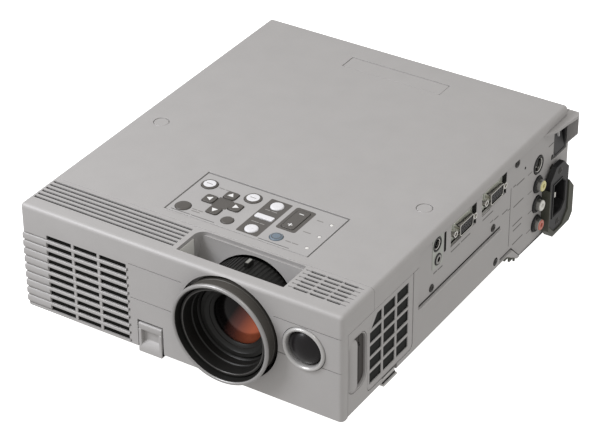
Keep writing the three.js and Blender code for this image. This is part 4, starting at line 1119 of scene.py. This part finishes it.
# power switch in its recess under the hood
cup_low, cup_high = case_box("power_switch_cup")
cup = combine(node_block("power_switch_cup"),
              block((cup_low.x + 1.2, cup_high.x + 1), (cup_low.y + 2.3, cup_high.y - 2.3),
                    (cup_low.z + 1.7, cup_high.z - 1.7)))
piece("switch_frame", cup, BLACK, stands_for="power_switch_cup", bevel=0.25)
rocker_low, rocker_high = case_box("power_rocker")
paddle = CAD["power_rocker"].data.copy()
paddle.transform(TO_FRAME.inverted())
paddle_mesh = bmesh.new()
paddle_mesh.from_mesh(paddle)
bpy.data.meshes.remove(paddle)
bmesh.ops.dissolve_limit(paddle_mesh, angle_limit=math.radians(1), verts=paddle_mesh.verts,
                         edges=paddle_mesh.edges)
PADDLE_GREY = surface("paddle_grey", (0.045, 0.045, 0.047), 0.4, grain=0.05)
piece("switch_paddle", paddle_mesh, PADDLE_GREY, body="power_rocker", stands_for="power_rocker",
      bevel=0.4, segments=3)
line = block((rocker_high.x - 2.8, rocker_high.x - 0.9), around(SWITCH.y, 0.35),
             (SWITCH.z + 1.6, SWITCH.z + 5.2))
piece("switch_line_on", line, PRINT_LIGHT, body="power_rocker")


# ---- small things on the right side
def on_plate(outline, proud, depth=0.3):
    """A thin solid on the face of the terminal plate."""
    return prism(outline, "x", PLATE_FACE - depth, PLATE_FACE + proud)


def side_slot(name, y, z, radius=0.5):
    """A dark patch on the terminal plate: painted shade standing for a shallow slot."""
    outline = rounded(y, z, min(radius, (y[1] - y[0]) / 2.01, (z[1] - z[0]) / 2.01), 4)
    piece(name, on_plate(outline, 0.04, 0.4), SHADE)


side_screw("plate_screw_0", 107.0, 55.8, PLATE_FACE, 0.8, 2.7)
side_screw("plate_screw_1", 187.0, 55.6, PLATE_FACE, 0.8, 2.7)
piece("case_screw_hole", prism(circle((189.8, 28.4), 2.9), "x", HALF - 0.4, HALF + 0.03), SHADE)
side_screw("case_screw", 189.9, 28.2, HALF - 0.3, 0.5, 2.3)
side_screw("top_screw", 217.5, 88.2, PLATE_FACE, 0.9, 3.0)
side_screw("inlet_side_screw", 268.8, 58.8, PLATE_FACE, 0.7, 2.1)
side_slot("plate_dot", (228.5, 230.5), (77.4, 79.4), 1)
side_slot("plate_oval", (267.6, 269.9), (64.2, 68.4), 1.1)
# painted shade standing for the shaded rear wall of the recess beside the jacks
side_slot("slot_by_jacks", (121.8, 124.4), (73.8, 88.2))
caption_paint = surface("caption_side", (0.14, 0.135, 0.13), 0.6, vary=0.1)
captions = [((109, 113.6), (64.6, 65.5)), ((114.6, 120.6), (64.4, 65.3)), ((130, 144), (72.6, 73.2)),
            ((131, 142.5), (68.3, 69.2)), ((144, 156), (68.4, 69.3)), ((171, 182), (72.6, 73.2)),
            ((172, 186), (68.8, 69.7)), ((182.6, 187), (61.4, 62.2)), ((188, 194), (60.6, 61.4)),
            ((199, 206.6), (58.8, 59.6)), ((213.5, 217), (71.8, 72.7)), ((218, 229), (70.6, 71.5)),
            ((215, 229), (55.4, 56.3)), ((215, 228.5), (40.8, 41.7)), ((216, 227.5), (36.4, 37.3)),
            ((215.8, 230.6), (25.8, 26.7)), ((234, 240), (70.0, 70.6)), ((235, 241), (54.6, 55.2)),
            ((236.6, 242.6), (38.5, 39.1)), ((235.8, 242), (23.6, 24.2)), ((262.8, 270), (76.8, 77.6))]
lines = [block((PLATE_FACE - 0.3, PLATE_FACE + 0.03), y, z)
         for y, z in (((210.0, 210.7), (28, 73)), ((206.8, 210.5), (57.4, 58.0)))]
captions = [on_plate(rounded(y, z, 0.28, 3), 0.03) for y, z in captions]
piece("side_captions", merged(*captions, *lines), caption_paint)


def traced(points, width):
    """A narrow line on the terminal plate along (y, z) points."""
    strips = []
    for start, end in zip(points, points[1:]):
        start, end = Vector(start), Vector(end)
        along = (end - start).normalized() * width / 2
        off = Vector((-along.y, along.x))
        corners = [start - along + off, start - along - off, end + along - off, end + along + off]
        strips.append(on_plate(corners, 0.05, 0.4))
    return strips


plate_seams = (traced([(89.2, 50.9), (89.2, 91.0)], 0.6) + traced([(89.2, 91.0), (254, 91.0)], 0.45)
               + traced([(196.3, 44.6), (196.3, 24.4), (214.2, 24.4), (226.2, 12.4)], 0.6))
piece("plate_seams", merged(*plate_seams), SHADE)
piece("ledge_shade", merged(*traced([(91, 50.9), (196, 50.9)], 1.5)), SHADE)
# light strip under the dark ledge line: painted highlight on the lit edge of the lip
ledge = block((HALF - 0.6, HALF + 0.35), (90.5, 196.3), (49.3, 50.0))
piece("ledge_highlight", ledge, LIP_PAINT_AND_HIGHLIGHT, bevel=0.2)
clip_sides = [((203.5, 211.5), (20.4, 21.6)), ((210.4, 211.6), (16.8, 21.6)),
              ((210.4, 218.6), (16.0, 17.2)), ((217.4, 218.6), (12.6, 17.2))]
clip = merged(*[block((HALF - 1.6, HALF - 0.1), y, z) for y, z in clip_sides])
piece("cable_clip", clip, BOSS_DARK, bevel=0.3)


# ---- what stays as it is in the CAD
for node in ("exhaust_fan_frame", "exhaust_fan_impeller", "intake_fan_frame", "intake_fan_impeller"):
    finish_node(node, BLACK, 0.25)
for node in ("lamp_module", "optical_block"):
    finish_node(node, surface(node + "_cast", (0.09, 0.09, 0.085), 0.55, vary=0.15), 0.6)
for node in ("key_board", "main_board"):
    finish_node(node, BOARD, 0.15)
finish_node("inlet_boss", BOSS_DARK, 0.9)
finish_node("power_supply", surface("supply_board", (0.16, 0.13, 0.07), 0.55, vary=0.2), 0.6)

# ---- camera, ground and light
camera_data = bpy.data.cameras.new("camera")
camera_data.lens = 136.85
camera_data.sensor_width = 36
camera_data.clip_start = 0.05
camera = placed("camera", camera_data)
forward = Vector((-0.45173, 0.70680, -0.54440)).normalized()
ROLL = math.radians(-0.46)
camera.matrix_world = (Matrix.Translation((0.6674, -1.05205, 0.8556))
                       @ forward.to_track_quat("-Z", "Y").to_matrix().to_4x4()
                       @ Matrix.Rotation(ROLL, 4, "Z"))
scene.camera = camera

floor_mesh = bpy.data.meshes.new("ground")
reach = 6.0
floor_mesh.from_pydata([(-reach, -reach, 0), (reach, -reach, 0), (reach, reach, 0), (-reach, reach, 0)],
                       [], [(0, 1, 2, 3)])
ground = placed("ground", floor_mesh)
floor_mesh.materials.append(surface("ground_white", (0.95, 0.95, 0.95), 0.9, vary=0.0,
                                    emission=1.0))
ground.visible_diffuse = False
ground.visible_glossy = False

world = bpy.data.worlds.new("studio")
scene.world = world
world.use_nodes = True
backdrop = world.node_tree.nodes["Background"]
backdrop.inputs["Color"].default_value = (1, 0.98, 0.965, 1)
backdrop.inputs["Strength"].default_value = 0.60


def soft_light(name, place, size, power, colour):
    """A square lamp that faces the middle of the object."""
    data = bpy.data.lights.new(name, "AREA")
    data.shape = "SQUARE"
    data.size = size
    data.energy = power
    data.color = colour
    lamp = placed(name, data)
    away = Vector((0, 0, 0.05)) - Vector(place)
    lamp.matrix_world = Matrix.Translation(place) @ away.to_track_quat("-Z", "Y").to_matrix().to_4x4()


soft_light("key_box", (-0.66, -0.70, 0.86), 0.5, 9.5, (0.975, 0.985, 1.03))
soft_light("right_box", (0.75, -0.15, 1.5), 0.4, 3.0, (1.0, 0.98, 0.95))
scene.view_settings.view_transform = "Standard"
